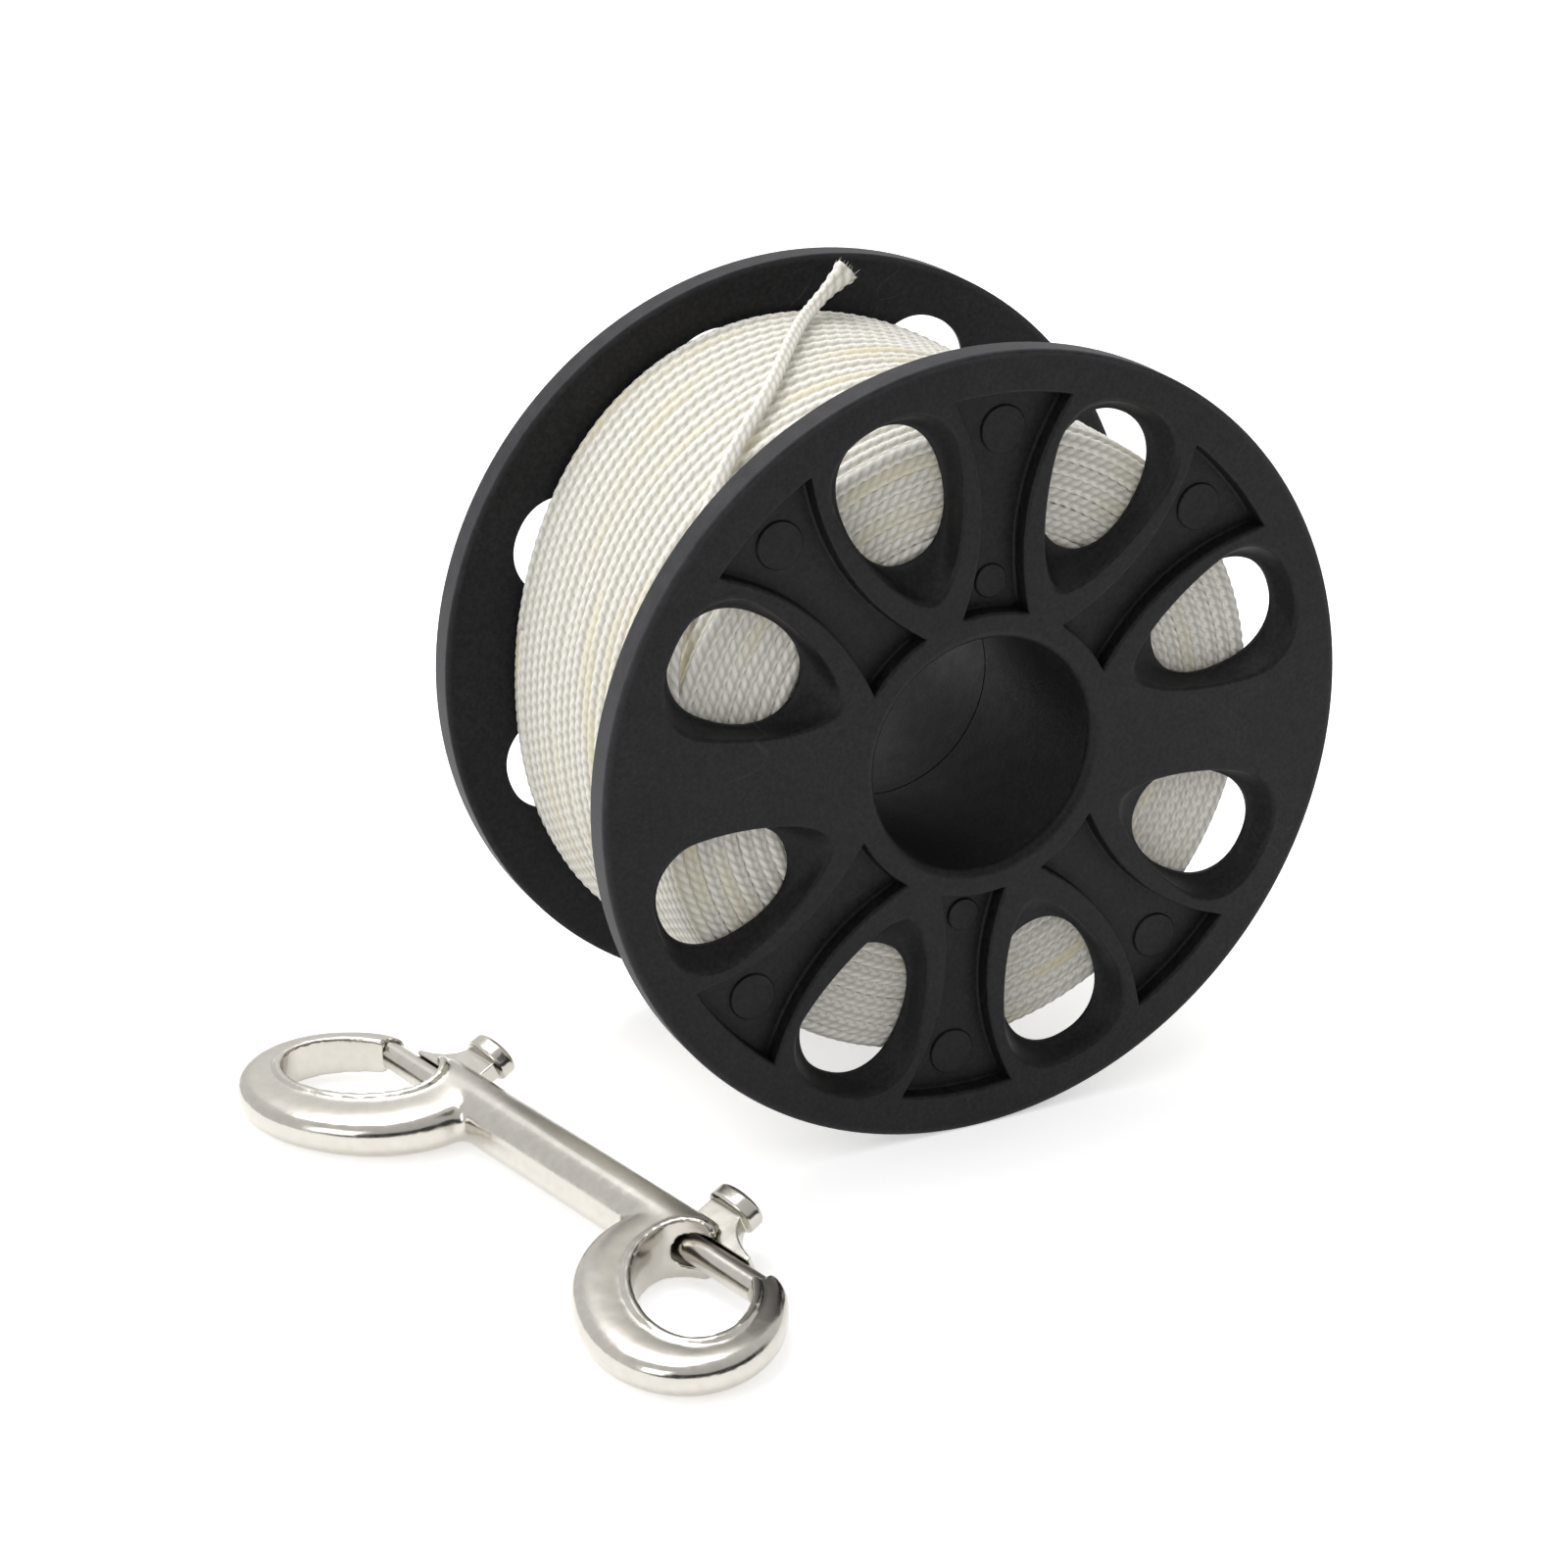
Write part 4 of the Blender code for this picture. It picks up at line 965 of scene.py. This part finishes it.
def braided(name, points, facings, diameter, seed, widths=1.0):
    """A tube with four columns of slanted stitches, where two columns meet on its facing side.

    It carries two attributes: relief, the height of the strands, which also sets the painted shade
    between them, and stain, the yellowing.
    """
    settings = bpy.context.scene.line_settings
    piece = tube(name, points, diameter, TUBE_SIDES_LEVEL)
    mesh = piece.data
    count = len(points)
    column = np.arange(TUBE_SIDES) * BRAID_COLUMNS / TUBE_SIDES
    odd = np.floor(column) % 2
    across = np.abs(odd - column % 1)
    phase = np.arange(count)[:, None] / STITCH_POINTS + (across * STITCH_SLANT + odd / 2)[None, :]
    ridge = np.abs(np.sin(HALF_TURN * phase)) ** RIDGE_POWER
    crown = np.abs(np.sin(HALF_TURN * column)) ** CROWN_POWER
    height = ridge * (CROWN_FOOT + (1 - CROWN_FOOT) * crown[None, :])
    radius = diameter / 2 + settings.relief * (height - RELIEF_LEVEL)
    radius = radius * np.reshape(widths, (-1, 1))
    rings = np.array(points)[:, None, :] + spokes(points, facings) * radius[:, :, None]
    mesh.vertices.foreach_set("co", rings.ravel())
    close_ends(mesh)
    length_along = np.arange(count) * settings.stitch / STITCH_POINTS
    stains = [drift(seed, place / STAIN_LENGTH, 0) for place in length_along]
    stain = np.clip(np.array(stains) * STAIN_GAIN - STAIN_LOSS, 0, 1)
    for label, values in (("relief", height), ("stain", np.repeat(stain, TUBE_SIDES))):
        attribute = mesh.attributes.new(label, "FLOAT", "POINT")
        attribute.data.foreach_set("value", values.ravel())
    mesh.shade_smooth()
    return piece


class SPOOL_OT_line_bed(bpy.types.Operator):
    """Make the inner layers of line, a ring under the turns."""

    bl_idname = "spool.line_bed"
    bl_label = "Line Bed"

    def execute(self, context):
        settings = context.scene.line_settings
        end = INNER_FACE - FLANGE_CLEARANCE - settings.diameter * BED_END_SHARE
        inner = HUB_RADIUS + BED_HUB_GAP
        blank = FLANGE_RADIUS
        outline = [(inner, -end), (inner, end), (blank, end), (blank, -end)]
        bm = spun(outline, ROUND_STEPS)
        for vert in bm.verts:
            radius = vert.co.xy.length
            if radius > blank - MERGE:
                along = (1 - vert.co.z / end) / 2
                outside = turn_radius(along, atan2(vert.co.y, vert.co.x)) - BED_DEPTH
                vert.co.x *= outside / radius
                vert.co.y *= outside / radius
        place = Matrix.Translation(SPOOL_MIDDLE) @ Matrix.Rotation(QUARTER, 4, "X")
        bed = add_piece("line_inner_layers", bm, place)
        shade(bed)
        # Painted shade: with no relief attribute, the whole bed takes the darker valley colour, as
        # the shade deep under the turns
        dress(bed, braided_nylon, "spool", "line_core")
        return {"FINISHED"}


class SPOOL_OT_line_turns(bpy.types.Operator):
    """Wind the outer layer of line, in stretches of a few turns."""

    bl_idname = "spool.line_turns"
    bl_label = "Outer Turns"

    def execute(self, context):
        points = outer_turns(context.scene.line_settings)
        diameter = context.scene.line_settings.diameter
        ends = np.linspace(0, len(points) - 1, TURN_STRETCHES + 1).round().astype(int)
        for index, (start, end) in enumerate(zip(ends, ends[1:])):
            start -= start % STITCH_POINTS
            name = "line_turns_%d" % (index + 1)
            stretch = points[start:end + 1]
            piece = braided(name, stretch, seam_facings(stretch), diameter, index)
            dress(piece, braided_nylon, "spool", "line_winding")
        return {"FINISHED"}


class SPOOL_OT_line_sides(bpy.types.Operator):
    """Wind the side faces of the pack that show through the windows."""

    bl_idname = "spool.line_sides"
    bl_label = "Side Turns"

    def execute(self, context):
        settings = context.scene.line_settings
        for name, side in (("line_side_front", -1), ("line_side_rear", 1)):
            points = side_turns(settings, side)
            facings = np.tile((0.0, side, 0.0), (len(points), 1))
            piece = braided(name, points, facings, settings.diameter, SIDE_SEED + side)
            dress(piece, braided_nylon, "spool")
        return {"FINISHED"}


def smooth_route(route, spacing):
    """Even points on a smooth curve through the route's own points."""
    ends = [2 * route[0] - route[1]] + list(route) + [2 * route[-1] - route[-2]]
    fine = []
    for before, start, end, after in zip(ends, ends[1:], ends[2:], ends[3:]):
        for t in np.linspace(0, 1, ROUTE_POINTS, endpoint=False):
            early = (end - before) * t + (2 * before - 5 * start + 4 * end - after) * t ** 2
            fine.append(start + (early + (3 * start - before - 3 * end + after) * t ** 3) / 2)
    fine.append(route[-1])
    cloud = np.array([tuple(point) for point in fine])
    lengths = np.concatenate(([0], np.cumsum(np.linalg.norm(np.diff(cloud, axis=0), axis=1))))
    stops = np.linspace(0, lengths[-1], round(lengths[-1] / spacing) + 1)
    return [Vector([np.interp(stop, lengths, cloud[:, axis]) for axis in range(3)])
            for stop in stops]


class SPOOL_OT_line_tail(bpy.types.Operator):
    """Lay the free tail over the turns, with its flared cut end and loose filaments."""

    bl_idname = "spool.line_tail"
    bl_label = "Line Tail"

    def execute(self, context):
        spacing = context.scene.line_settings.stitch / STITCH_POINTS
        points = smooth_route([SPOOL_MIDDLE + Vector(stop) * MM for stop in TAIL_ROUTE], spacing)
        before_end = (len(points) - np.arange(len(points))) * spacing
        flare = np.clip(1 - before_end / TAIL_FLARE_LENGTH, 0, 1)
        widths = 1 + (TAIL_FLARE - 1) * flare ** TAIL_FLARE_POWER
        tail = braided("line_tail_braid", points, seam_facings(points), TAIL_DIAMETER, TAIL_SEED,
                       widths)
        fray = lofted("line_tail_fray", filaments(points))
        fray.data.shade_smooth()
        dress(tail, braided_nylon, "spool", "line_tail")
        dress(fray, braided_nylon, "spool")
        return {"FINISHED"}


def filaments(points):
    """Sections of the loose filaments that spread from the end of the tail."""
    tip = points[-1]
    heading = (points[-1] - points[-4]).normalized()
    across = heading.orthogonal().normalized()
    for index in range(FILAMENTS):
        spread = sqrt((index + 0.5) / FILAMENTS)
        out = Matrix.Rotation(index * GOLDEN_ANGLE, 3, heading) @ across
        root = (tip - heading * TAIL_DIAMETER * FILAMENT_ROOT
                + out * TAIL_DIAMETER * TAIL_FLARE * spread * FILAMENT_ROOT)
        reach = FILAMENT_LENGTH * (FILAMENT_SHORTEST + abs(drift(index * FILAMENT_STEP, 3, 5)))
        end = root + (heading + out * spread * FILAMENT_SPREAD).normalized() * reach
        middle = root.lerp(end, 0.5) - Vector((0, 0, reach * FILAMENT_SAG))
        yield filament((root, middle, end))


def filament(points):
    """Sections of one thin filament, tapered to its end."""
    heading = (points[-1] - points[0]).normalized()
    across = heading.orthogonal().normalized()
    sides = [Matrix.Rotation(turn * FULL_TURN / FILAMENT_SIDES, 3, heading) @ across
             for turn in range(FILAMENT_SIDES)]
    return [[point + side * FILAMENT_RADIUS * size for side in sides]
            for point, size in zip(points, FILAMENT_TAPER)]


def snap_place():
    """Where the snap rests: on both bulges of its eyes and on its shaft."""
    across = EYE_HALF_LENGTH * sin(EYE_TILT)
    bulge = EYE_OFFSET + hypot(across, EYE_HALF_WIDTH * cos(EYE_TILT))
    lean = asin((SHAFT_RADIUS - EYE_HALF_HEIGHTS[3]) / (bulge + EYE_HALF_WIDTHS[3] / 2))
    corner = SPOOL_MIDDLE + Vector((SNAP_X, SNAP_Y, SHAFT_RADIUS - FLANGE_RADIUS))
    turn = Matrix.Rotation(SNAP_HEADING, 4, "Z") @ Matrix.Rotation(-lean, 4, "Y")
    return Matrix.Translation(corner) @ turn


def gate_place(side):
    """The frame of a gate: +Z from mid shaft out to the nose, +X the way the knob stands."""
    turn = Matrix.Rotation(-KNOB_TILT, 4, "Y") @ Matrix.Rotation(-side * QUARTER, 4, "X")
    return snap_place() @ turn


def rod_outline(radius, start, end):
    """A plain round rod, from its start to its end along its axis."""
    return [(0, start), (radius, start), (radius, end), (0, end)]


def shaft_outline():
    """The plain round shaft, from end to end."""
    rim = arc((SHAFT_RADIUS - SHAFT_ROUNDING, SHAFT_HALF_LENGTH - SHAFT_ROUNDING),
              SHAFT_ROUNDING, QUARTER, 0)
    ends = [(0, SHAFT_HALF_LENGTH)] + rim
    return ends + [(radius, -height) for radius, height in reversed(ends)]


def oval_point(offset, along, half_length, half_width, angle):
    """A point on an oval tilted with the eyes, as an (across, along) pair, and its tangent."""
    long_way = Vector((-sin(EYE_TILT), cos(EYE_TILT)))
    short_way = Vector((cos(EYE_TILT), sin(EYE_TILT)))
    reach = half_length * cos(angle) * long_way + half_width * sin(angle) * short_way
    tangent = (half_width * cos(angle) * short_way
               - half_length * sin(angle) * long_way)
    return Vector((-offset, along)) + reach, tangent.normalized()


def eye_path():
    """The eye's centre line: round the ellipse, then bent onto the shaft's axis at the nose."""
    path = [oval_point(EYE_OFFSET, EYE_ALONG, EYE_HALF_LENGTH, EYE_HALF_WIDTH, angle)
            for angle in np.linspace(EYE_ROOT_ANGLE, EYE_BEND_ANGLE, EYE_STATIONS)]
    start, heading = path[-1]
    bend = start - heading * (start.x / heading.x)
    nose = Vector((0, NOSE_ALONG))
    for share in np.linspace(0, 1, NOSE_STATIONS + 1)[1:]:
        point = start.lerp(bend, share).lerp(bend.lerp(nose, share), share)
        tangent = (bend.lerp(nose, share) - start.lerp(bend, share)).normalized()
        path.append((point, tangent))
    return path


def eye_rings(side):
    """Sections of an eye, widest at its root in the shaft and slimmest at its nose."""
    path = eye_path()
    rings = []
    for index, (point, tangent) in enumerate(path):
        arm = index / (EYE_STATIONS - 1 + NOSE_STATIONS * NOSE_TAPER_SHARE)
        half_width, half_height, shift = [
            float(np.interp(arm, EYE_STOP_SHARES, values))
            for values in (EYE_HALF_WIDTHS, EYE_HALF_HEIGHTS, EYE_SHIFTS)]
        inwards = Vector((tangent.y, -tangent.x))
        ring = []
        for step in range(EYE_SIDES):
            share = (step + 0.5) / EYE_SIDES
            inner = cos(share * FULL_TURN) > 0
            power = EYE_INNER_POWER if inner else EYE_OUTER_POWER
            across, up = superellipse(share, (power, power))
            flat = point + inwards * (shift + half_width * across)
            ring.append(Vector((flat.x, side * flat.y, half_height * up)))
        rings.append(ring)
    return rings


def hole_prism(side, margin, low):
    """The upright oval through an eye, grown by a margin, from a low end up past the shaft."""
    outline = []
    for angle in round_angles(HOLE_STEPS):
        point = oval_point(HOLE_OFFSET, HOLE_ALONG, HOLE_HALF_LENGTH + margin,
                           HOLE_HALF_WIDTH + margin, angle)[0]
        outline.append((point.x, side * point.y))
    rings = [level(outline, low), level(outline, SHAFT_RADIUS + OVERRUN)]
    return lofted("hole_prism", [rings], snap_place())


def slot_cutter(side):
    """The knob's slot: flat-sided, round at its inner end, open at the shaft's end."""
    back = arc((0, SLOT_INNER_END + SLOT_HALF_WIDTH), SLOT_HALF_WIDTH, HALF_TURN, FULL_TURN,
               2 * FILLET_STEPS)
    mouth = SHAFT_HALF_LENGTH + OVERRUN
    outline = back + [(SLOT_HALF_WIDTH, mouth), (-SLOT_HALF_WIDTH, mouth)]
    rings = [[Vector((x, y, z)) for y, z in outline] for x in (0, SHAFT_RADIUS + OVERRUN)]
    return lofted("slot_cutter", [rings], gate_place(side))


def tip_prism(side, start, shoulder, height):
    """An upright prism that ends in a wedge, from a start to its shoulder along the shaft."""
    half = PIN_RADIUS + OVERRUN
    outline = [(-half, side * start), (half, side * start), (half, side * shoulder),
               (PIN_RADIUS, side * shoulder), (0, side * (shoulder + NOTCH_DEPTH)),
               (-PIN_RADIUS, side * shoulder), (-half, side * shoulder)]
    return lofted("tip_prism", [[level(outline, -height), level(outline, height)]], snap_place())


def tumble(piece, voxel, rounds):
    """Fuse a piece into one even skin and wear its edges round."""
    skin = piece.modifiers.new("cast_skin", "REMESH")
    skin.mode = "VOXEL"
    skin.voxel_size = voxel
    worn = piece.modifiers.new("tumbled", "SMOOTH")
    worn.factor = 0.5
    worn.iterations = rounds
    apply_modifiers(piece)


def swollen(piece, voxel, distance):
    """A copy of a piece whose skin stands out by a distance."""
    copy = new_object(piece.name + "_swollen", piece.data.copy())
    tumble(copy, voxel, CAST_SMOOTHING)
    push = copy.modifiers.new("push", "DISPLACE")
    push.strength = distance
    push.mid_level = 0.0
    apply_modifiers(copy)
    return copy


class SPOOL_OT_snap_body(bpy.types.Operator):
    """Cast the snap's body: shaft and eyes in one, a bead round each hole, bores and slots."""

    bl_idname = "spool.snap_body"
    bl_label = "Snap Body"

    def execute(self, context):
        along_shaft = Matrix.Rotation(-QUARTER, 4, "X")
        body = add_piece("snap_casting", spun(shaft_outline(), SMALL_ROUND_STEPS),
                         snap_place() @ along_shaft)
        eyes = lofted("snap_eyes", [eye_rings(side) for side in (-1, 1)], snap_place())
        combine(body, "UNION", eyes)
        tumble(body, ROOT_VOXEL, ROOT_SMOOTHING)
        beads = []
        for side in (-1, 1):
            bead = swollen(body, BEAD_VOXEL, BEAD_HEIGHT)
            combine(bead, "INTERSECT", hole_prism(side, BEAD_WIDTH, 0))
            beads.append(bead)
        combine(body, "UNION", *beads)
        tumble(body, CAST_VOXEL, 1)
        bore = rod_outline(GATE_BORE_RADIUS, BORE_WALL, SHAFT_HALF_LENGTH + OVERRUN)
        cutters = []
        for side in (-1, 1):
            cutters.append(hole_prism(side, 0, -SHAFT_RADIUS - OVERRUN))
            cutters.append(add_piece("bore_cutter", spun(bore, SMALL_ROUND_STEPS),
                                     gate_place(side)))
            cutters.append(slot_cutter(side))
            cutters.append(tip_prism(side, NOSE_ALONG - OVERRUN, NOSE_ALONG + NOTCH_GAP,
                                     PIN_RADIUS + OVERRUN))
        combine(body, "DIFFERENCE", *cutters)
        tumble(body, CAST_VOXEL, CAST_SMOOTHING)
        shade(body, CAST_CREASE)
        dress(body, tumbled_nickel, "snap", "snap_body")
        return {"FINISHED"}


def neck_outline():
    """The side of the knob's neck, with the hollow ramp for the thumb and its foot."""
    foot = PIN_RADIUS
    top = KNOB_HEAD_START + KNOB_ROUNDING
    start = Vector((KNOB_HEAD_START, NECK_HALF_LENGTH))
    end = Vector((foot + FOOT_THICKNESS, FOOT_REACH))
    bend = Vector((foot + FOOT_THICKNESS + RAMP_LIFT, NECK_HALF_LENGTH + RAMP_BEND))
    ramp = [start.lerp(bend, share).lerp(bend.lerp(end, share), share)
            for share in np.linspace(0, 1, RAMP_STEPS + 1)]
    return ([(top, -NECK_HALF_LENGTH), (top, NECK_HALF_LENGTH)] + [tuple(p) for p in ramp]
            + [(foot, FOOT_REACH), (foot, -NECK_HALF_LENGTH)])


def knob_mesh():
    """The thumb knob: a slab neck with its ramp, under an oval head with a domed top."""
    slab = [[Vector((x, y, z)) for x, z in neck_outline()]
            for y in (-NECK_HALF_THICKNESS, NECK_HALF_THICKNESS)]
    neck = lofted("neck", [slab])
    head_end = KNOB_HEAD_START + KNOB_HEAD_HEIGHT
    sections = [(KNOB_ROUNDING * (1 - cos(angle)),
                 KNOB_HEAD_START + KNOB_ROUNDING * (1 - sin(angle)) / 2)
                for angle in reversed(ROUNDING_ANGLES)]
    sections += [(2 * KNOB_ROUNDING * (1 - cos(angle)),
                  head_end - KNOB_ROUNDING * (1 - sin(angle)))
                 for angle in ROUNDING_ANGLES]
    rings = [[Vector((height, (KNOB_HEAD_HALF_WIDTH - inset) * cos(angle),
                      (KNOB_HEAD_HALF_LENGTH - inset) * sin(angle)))
              for angle in round_angles(SMALL_ROUND_STEPS)]
             for inset, height in sections]
    head = lofted("head", [rings])
    combine(head, "UNION", neck)
    return head


class SPOOL_OT_snap_gates(bpy.types.Operator):
    """Make the pin and thumb knob of each gate."""

    bl_idname = "spool.snap_gates"
    bl_label = "Snap Gates"

    def execute(self, context):
        for name, side in (("front", -1), ("rear", 1)):
            place = gate_place(side)
            rod = rod_outline(PIN_RADIUS, PIN_INNER_END, PIN_TIP + NOTCH_DEPTH + OVERRUN)
            pin = add_piece("pin_" + name, spun(rod, SMALL_ROUND_STEPS), place)
            combine(pin, "INTERSECT", tip_prism(side, PIN_INNER_END - OVERRUN, NOSE_ALONG,
                                                SHAFT_RADIUS))
            shade(pin)
            dress(pin, tumbled_nickel, "gate_" + name, "gate_pin_" + name)
            knob = knob_mesh()
            knob.name = "knob_" + name
            knob.data.transform(place @ Matrix.Translation((0, 0, KNOB_ALONG)))
            tumble(knob, KNOB_VOXEL, KNOB_SMOOTHING)
            shade(knob, CAST_CREASE)
            dress(knob, tumbled_nickel, "gate_" + name, "gate_knob_" + name)
        return {"FINISHED"}


def spring_points():
    """A gate spring's curls, from the bore's bottom to the pin."""
    steps = np.linspace(0, 1, SPRING_CURLS * SMALL_ROUND_STEPS // 2 + 1)
    low = SPRING_START + SPRING_WIRE / 2
    high = SPRING_END - SPRING_WIRE / 2
    return [Vector((SPRING_RADIUS * cos(share * SPRING_CURLS * FULL_TURN),
                    SPRING_RADIUS * sin(share * SPRING_CURLS * FULL_TURN),
                    low + (high - low) * share)) for share in steps]


class SPOOL_OT_snap_springs(bpy.types.Operator):
    """Coil the spring behind each gate."""

    bl_idname = "spool.snap_springs"
    bl_label = "Snap Springs"

    def execute(self, context):
        for name, side in (("front", -1), ("rear", 1)):
            place = gate_place(side)
            points = [place @ point for point in spring_points()]
            spring = tube("spring_" + name, points, SPRING_WIRE, WIRE_SIDES_LEVEL)
            spring.data.shade_smooth()
            dress(spring, drawn_steel, "snap", "gate_spring_" + name)
            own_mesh(spring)
        return {"FINISHED"}


def area_light(name, place, target, size, energy):
    """A soft square light at a place, aimed at a target."""
    light = bpy.data.lights.new(name, "AREA")
    light.size = size
    light.energy = energy
    lamp = new_object(name, light)
    lamp.location = place
    lamp.rotation_euler = (place - target).to_track_quat("Z", "Y").to_euler()


def studio_world():
    """White to the camera; elsewhere a pale room, with a low dark screen behind the camera."""
    world = bpy.data.worlds.new("studio")
    world.use_nodes = True
    tree = world.node_tree
    camera_ray = node(tree, "LightPath").outputs["Is Camera Ray"]
    axes = node(tree, "SeparateXYZ", node(tree, "TexCoord")).outputs
    behind = node(tree, "MapRange", axes[1], *ROOM_TURN, ROOM_DIM, ROOM_PALE)
    side = node(tree, "MapRange", axes[1], *SCREEN_SIDE)
    low = node(tree, "MapRange", axes[2], *SCREEN_TOP)
    screen = node(tree, "Math", side, low, operation="MULTIPLY")
    room = node(tree, "Mix", screen, inputs={6: behind, 7: rgba([ROOM_FLAG] * 3)},
                data_type="RGBA").outputs[2]
    seen = node(tree, "Mix", camera_ray, inputs={6: room, 7: WHITE}, data_type="RGBA").outputs[2]
    connect(tree, tree.nodes["Background"], {"Color": seen})
    bpy.context.scene.world = world


class SPOOL_OT_stage(bpy.types.Operator):
    """Set the white table, the soft lights and the camera."""

    bl_idname = "spool.stage"
    bl_label = "Stage"

    def execute(self, context):
        settings = context.scene.stage_settings
        bm = bmesh.new()
        bmesh.ops.create_grid(bm, x_segments=1, y_segments=1, size=TABLE_HALF_SIZE)
        table = add_piece("table", bm, Matrix.Translation((0, 0, -TABLE_DROP)))
        table.data.materials.append(material_for(white_laminate, "stage_settings"))
        middle = Vector((0, 0, SPOOL_MIDDLE.z))
        area_light("top_light", TOP_LIGHT_PLACE, middle, TOP_LIGHT_SIZE, settings.top_power)
        area_light("side_light", SIDE_LIGHT_PLACE, middle, SIDE_LIGHT_SIZE, settings.side_power)
        studio_world()
        context.scene.view_settings.view_transform = "Standard"
        back = Vector((sin(CAMERA_AZIMUTH) * cos(CAMERA_ELEVATION),
                       -cos(CAMERA_AZIMUTH) * cos(CAMERA_ELEVATION),
                       sin(CAMERA_ELEVATION)))
        right = Vector((cos(CAMERA_AZIMUTH), sin(CAMERA_AZIMUTH), 0))
        up = back.cross(right)
        lens = bpy.data.cameras.new("camera")
        lens.lens = CAMERA_LENS
        lens.sensor_width = CAMERA_SENSOR
        camera = new_object("camera", lens)
        turn = Matrix((right, up, back)).transposed().to_4x4()
        place = SPOOL_MIDDLE + back * CAMERA_DISTANCE + right * CAMERA_RIGHT + up * CAMERA_UP
        camera.matrix_world = Matrix.Translation(place) @ turn
        context.scene.camera = camera
        return {"FINISHED"}


STEPS = (SPOOL_OT_line_tail, SPOOL_OT_halves, SPOOL_OT_line_bed, SPOOL_OT_line_turns,
         SPOOL_OT_line_sides, SPOOL_OT_snap_body, SPOOL_OT_snap_gates, SPOOL_OT_snap_springs,
         SPOOL_OT_stage)
GROUPS = {"spool_settings": SpoolSettings, "line_settings": LineSettings,
          "snap_settings": SnapSettings, "stage_settings": StageSettings}


class SPOOL_PT_panel(bpy.types.Panel):
    """Lists the pieces and their settings."""

    bl_idname = "SPOOL_PT_panel"
    bl_label = "Finger Spool"
    bl_space_type = "VIEW_3D"
    bl_region_type = "UI"
    bl_category = "Finger Spool"

    def draw(self, context):
        for name, group in GROUPS.items():
            box = self.layout.box()
            for key in group.__annotations__:
                box.prop(getattr(context.scene, name), key)
        for step in STEPS:
            self.layout.operator(step.bl_idname)


def register():
    """Register the settings, operators and panel."""
    for name, group in GROUPS.items():
        bpy.utils.register_class(group)
        setattr(bpy.types.Scene, name, bpy.props.PointerProperty(type=group))
    for step in STEPS:
        bpy.utils.register_class(step)
    bpy.utils.register_class(SPOOL_PT_panel)


def unregister():
    """Take them back out."""
    bpy.utils.unregister_class(SPOOL_PT_panel)
    for step in reversed(STEPS):
        bpy.utils.unregister_class(step)
    for name, group in GROUPS.items():
        delattr(bpy.types.Scene, name)
        bpy.utils.unregister_class(group)


def main():
    """Make every piece and the stage."""
    register()
    for step in STEPS:
        family, name = step.bl_idname.split(".")
        getattr(getattr(bpy.ops, family), name)()


if __name__ == "__main__":
    main()
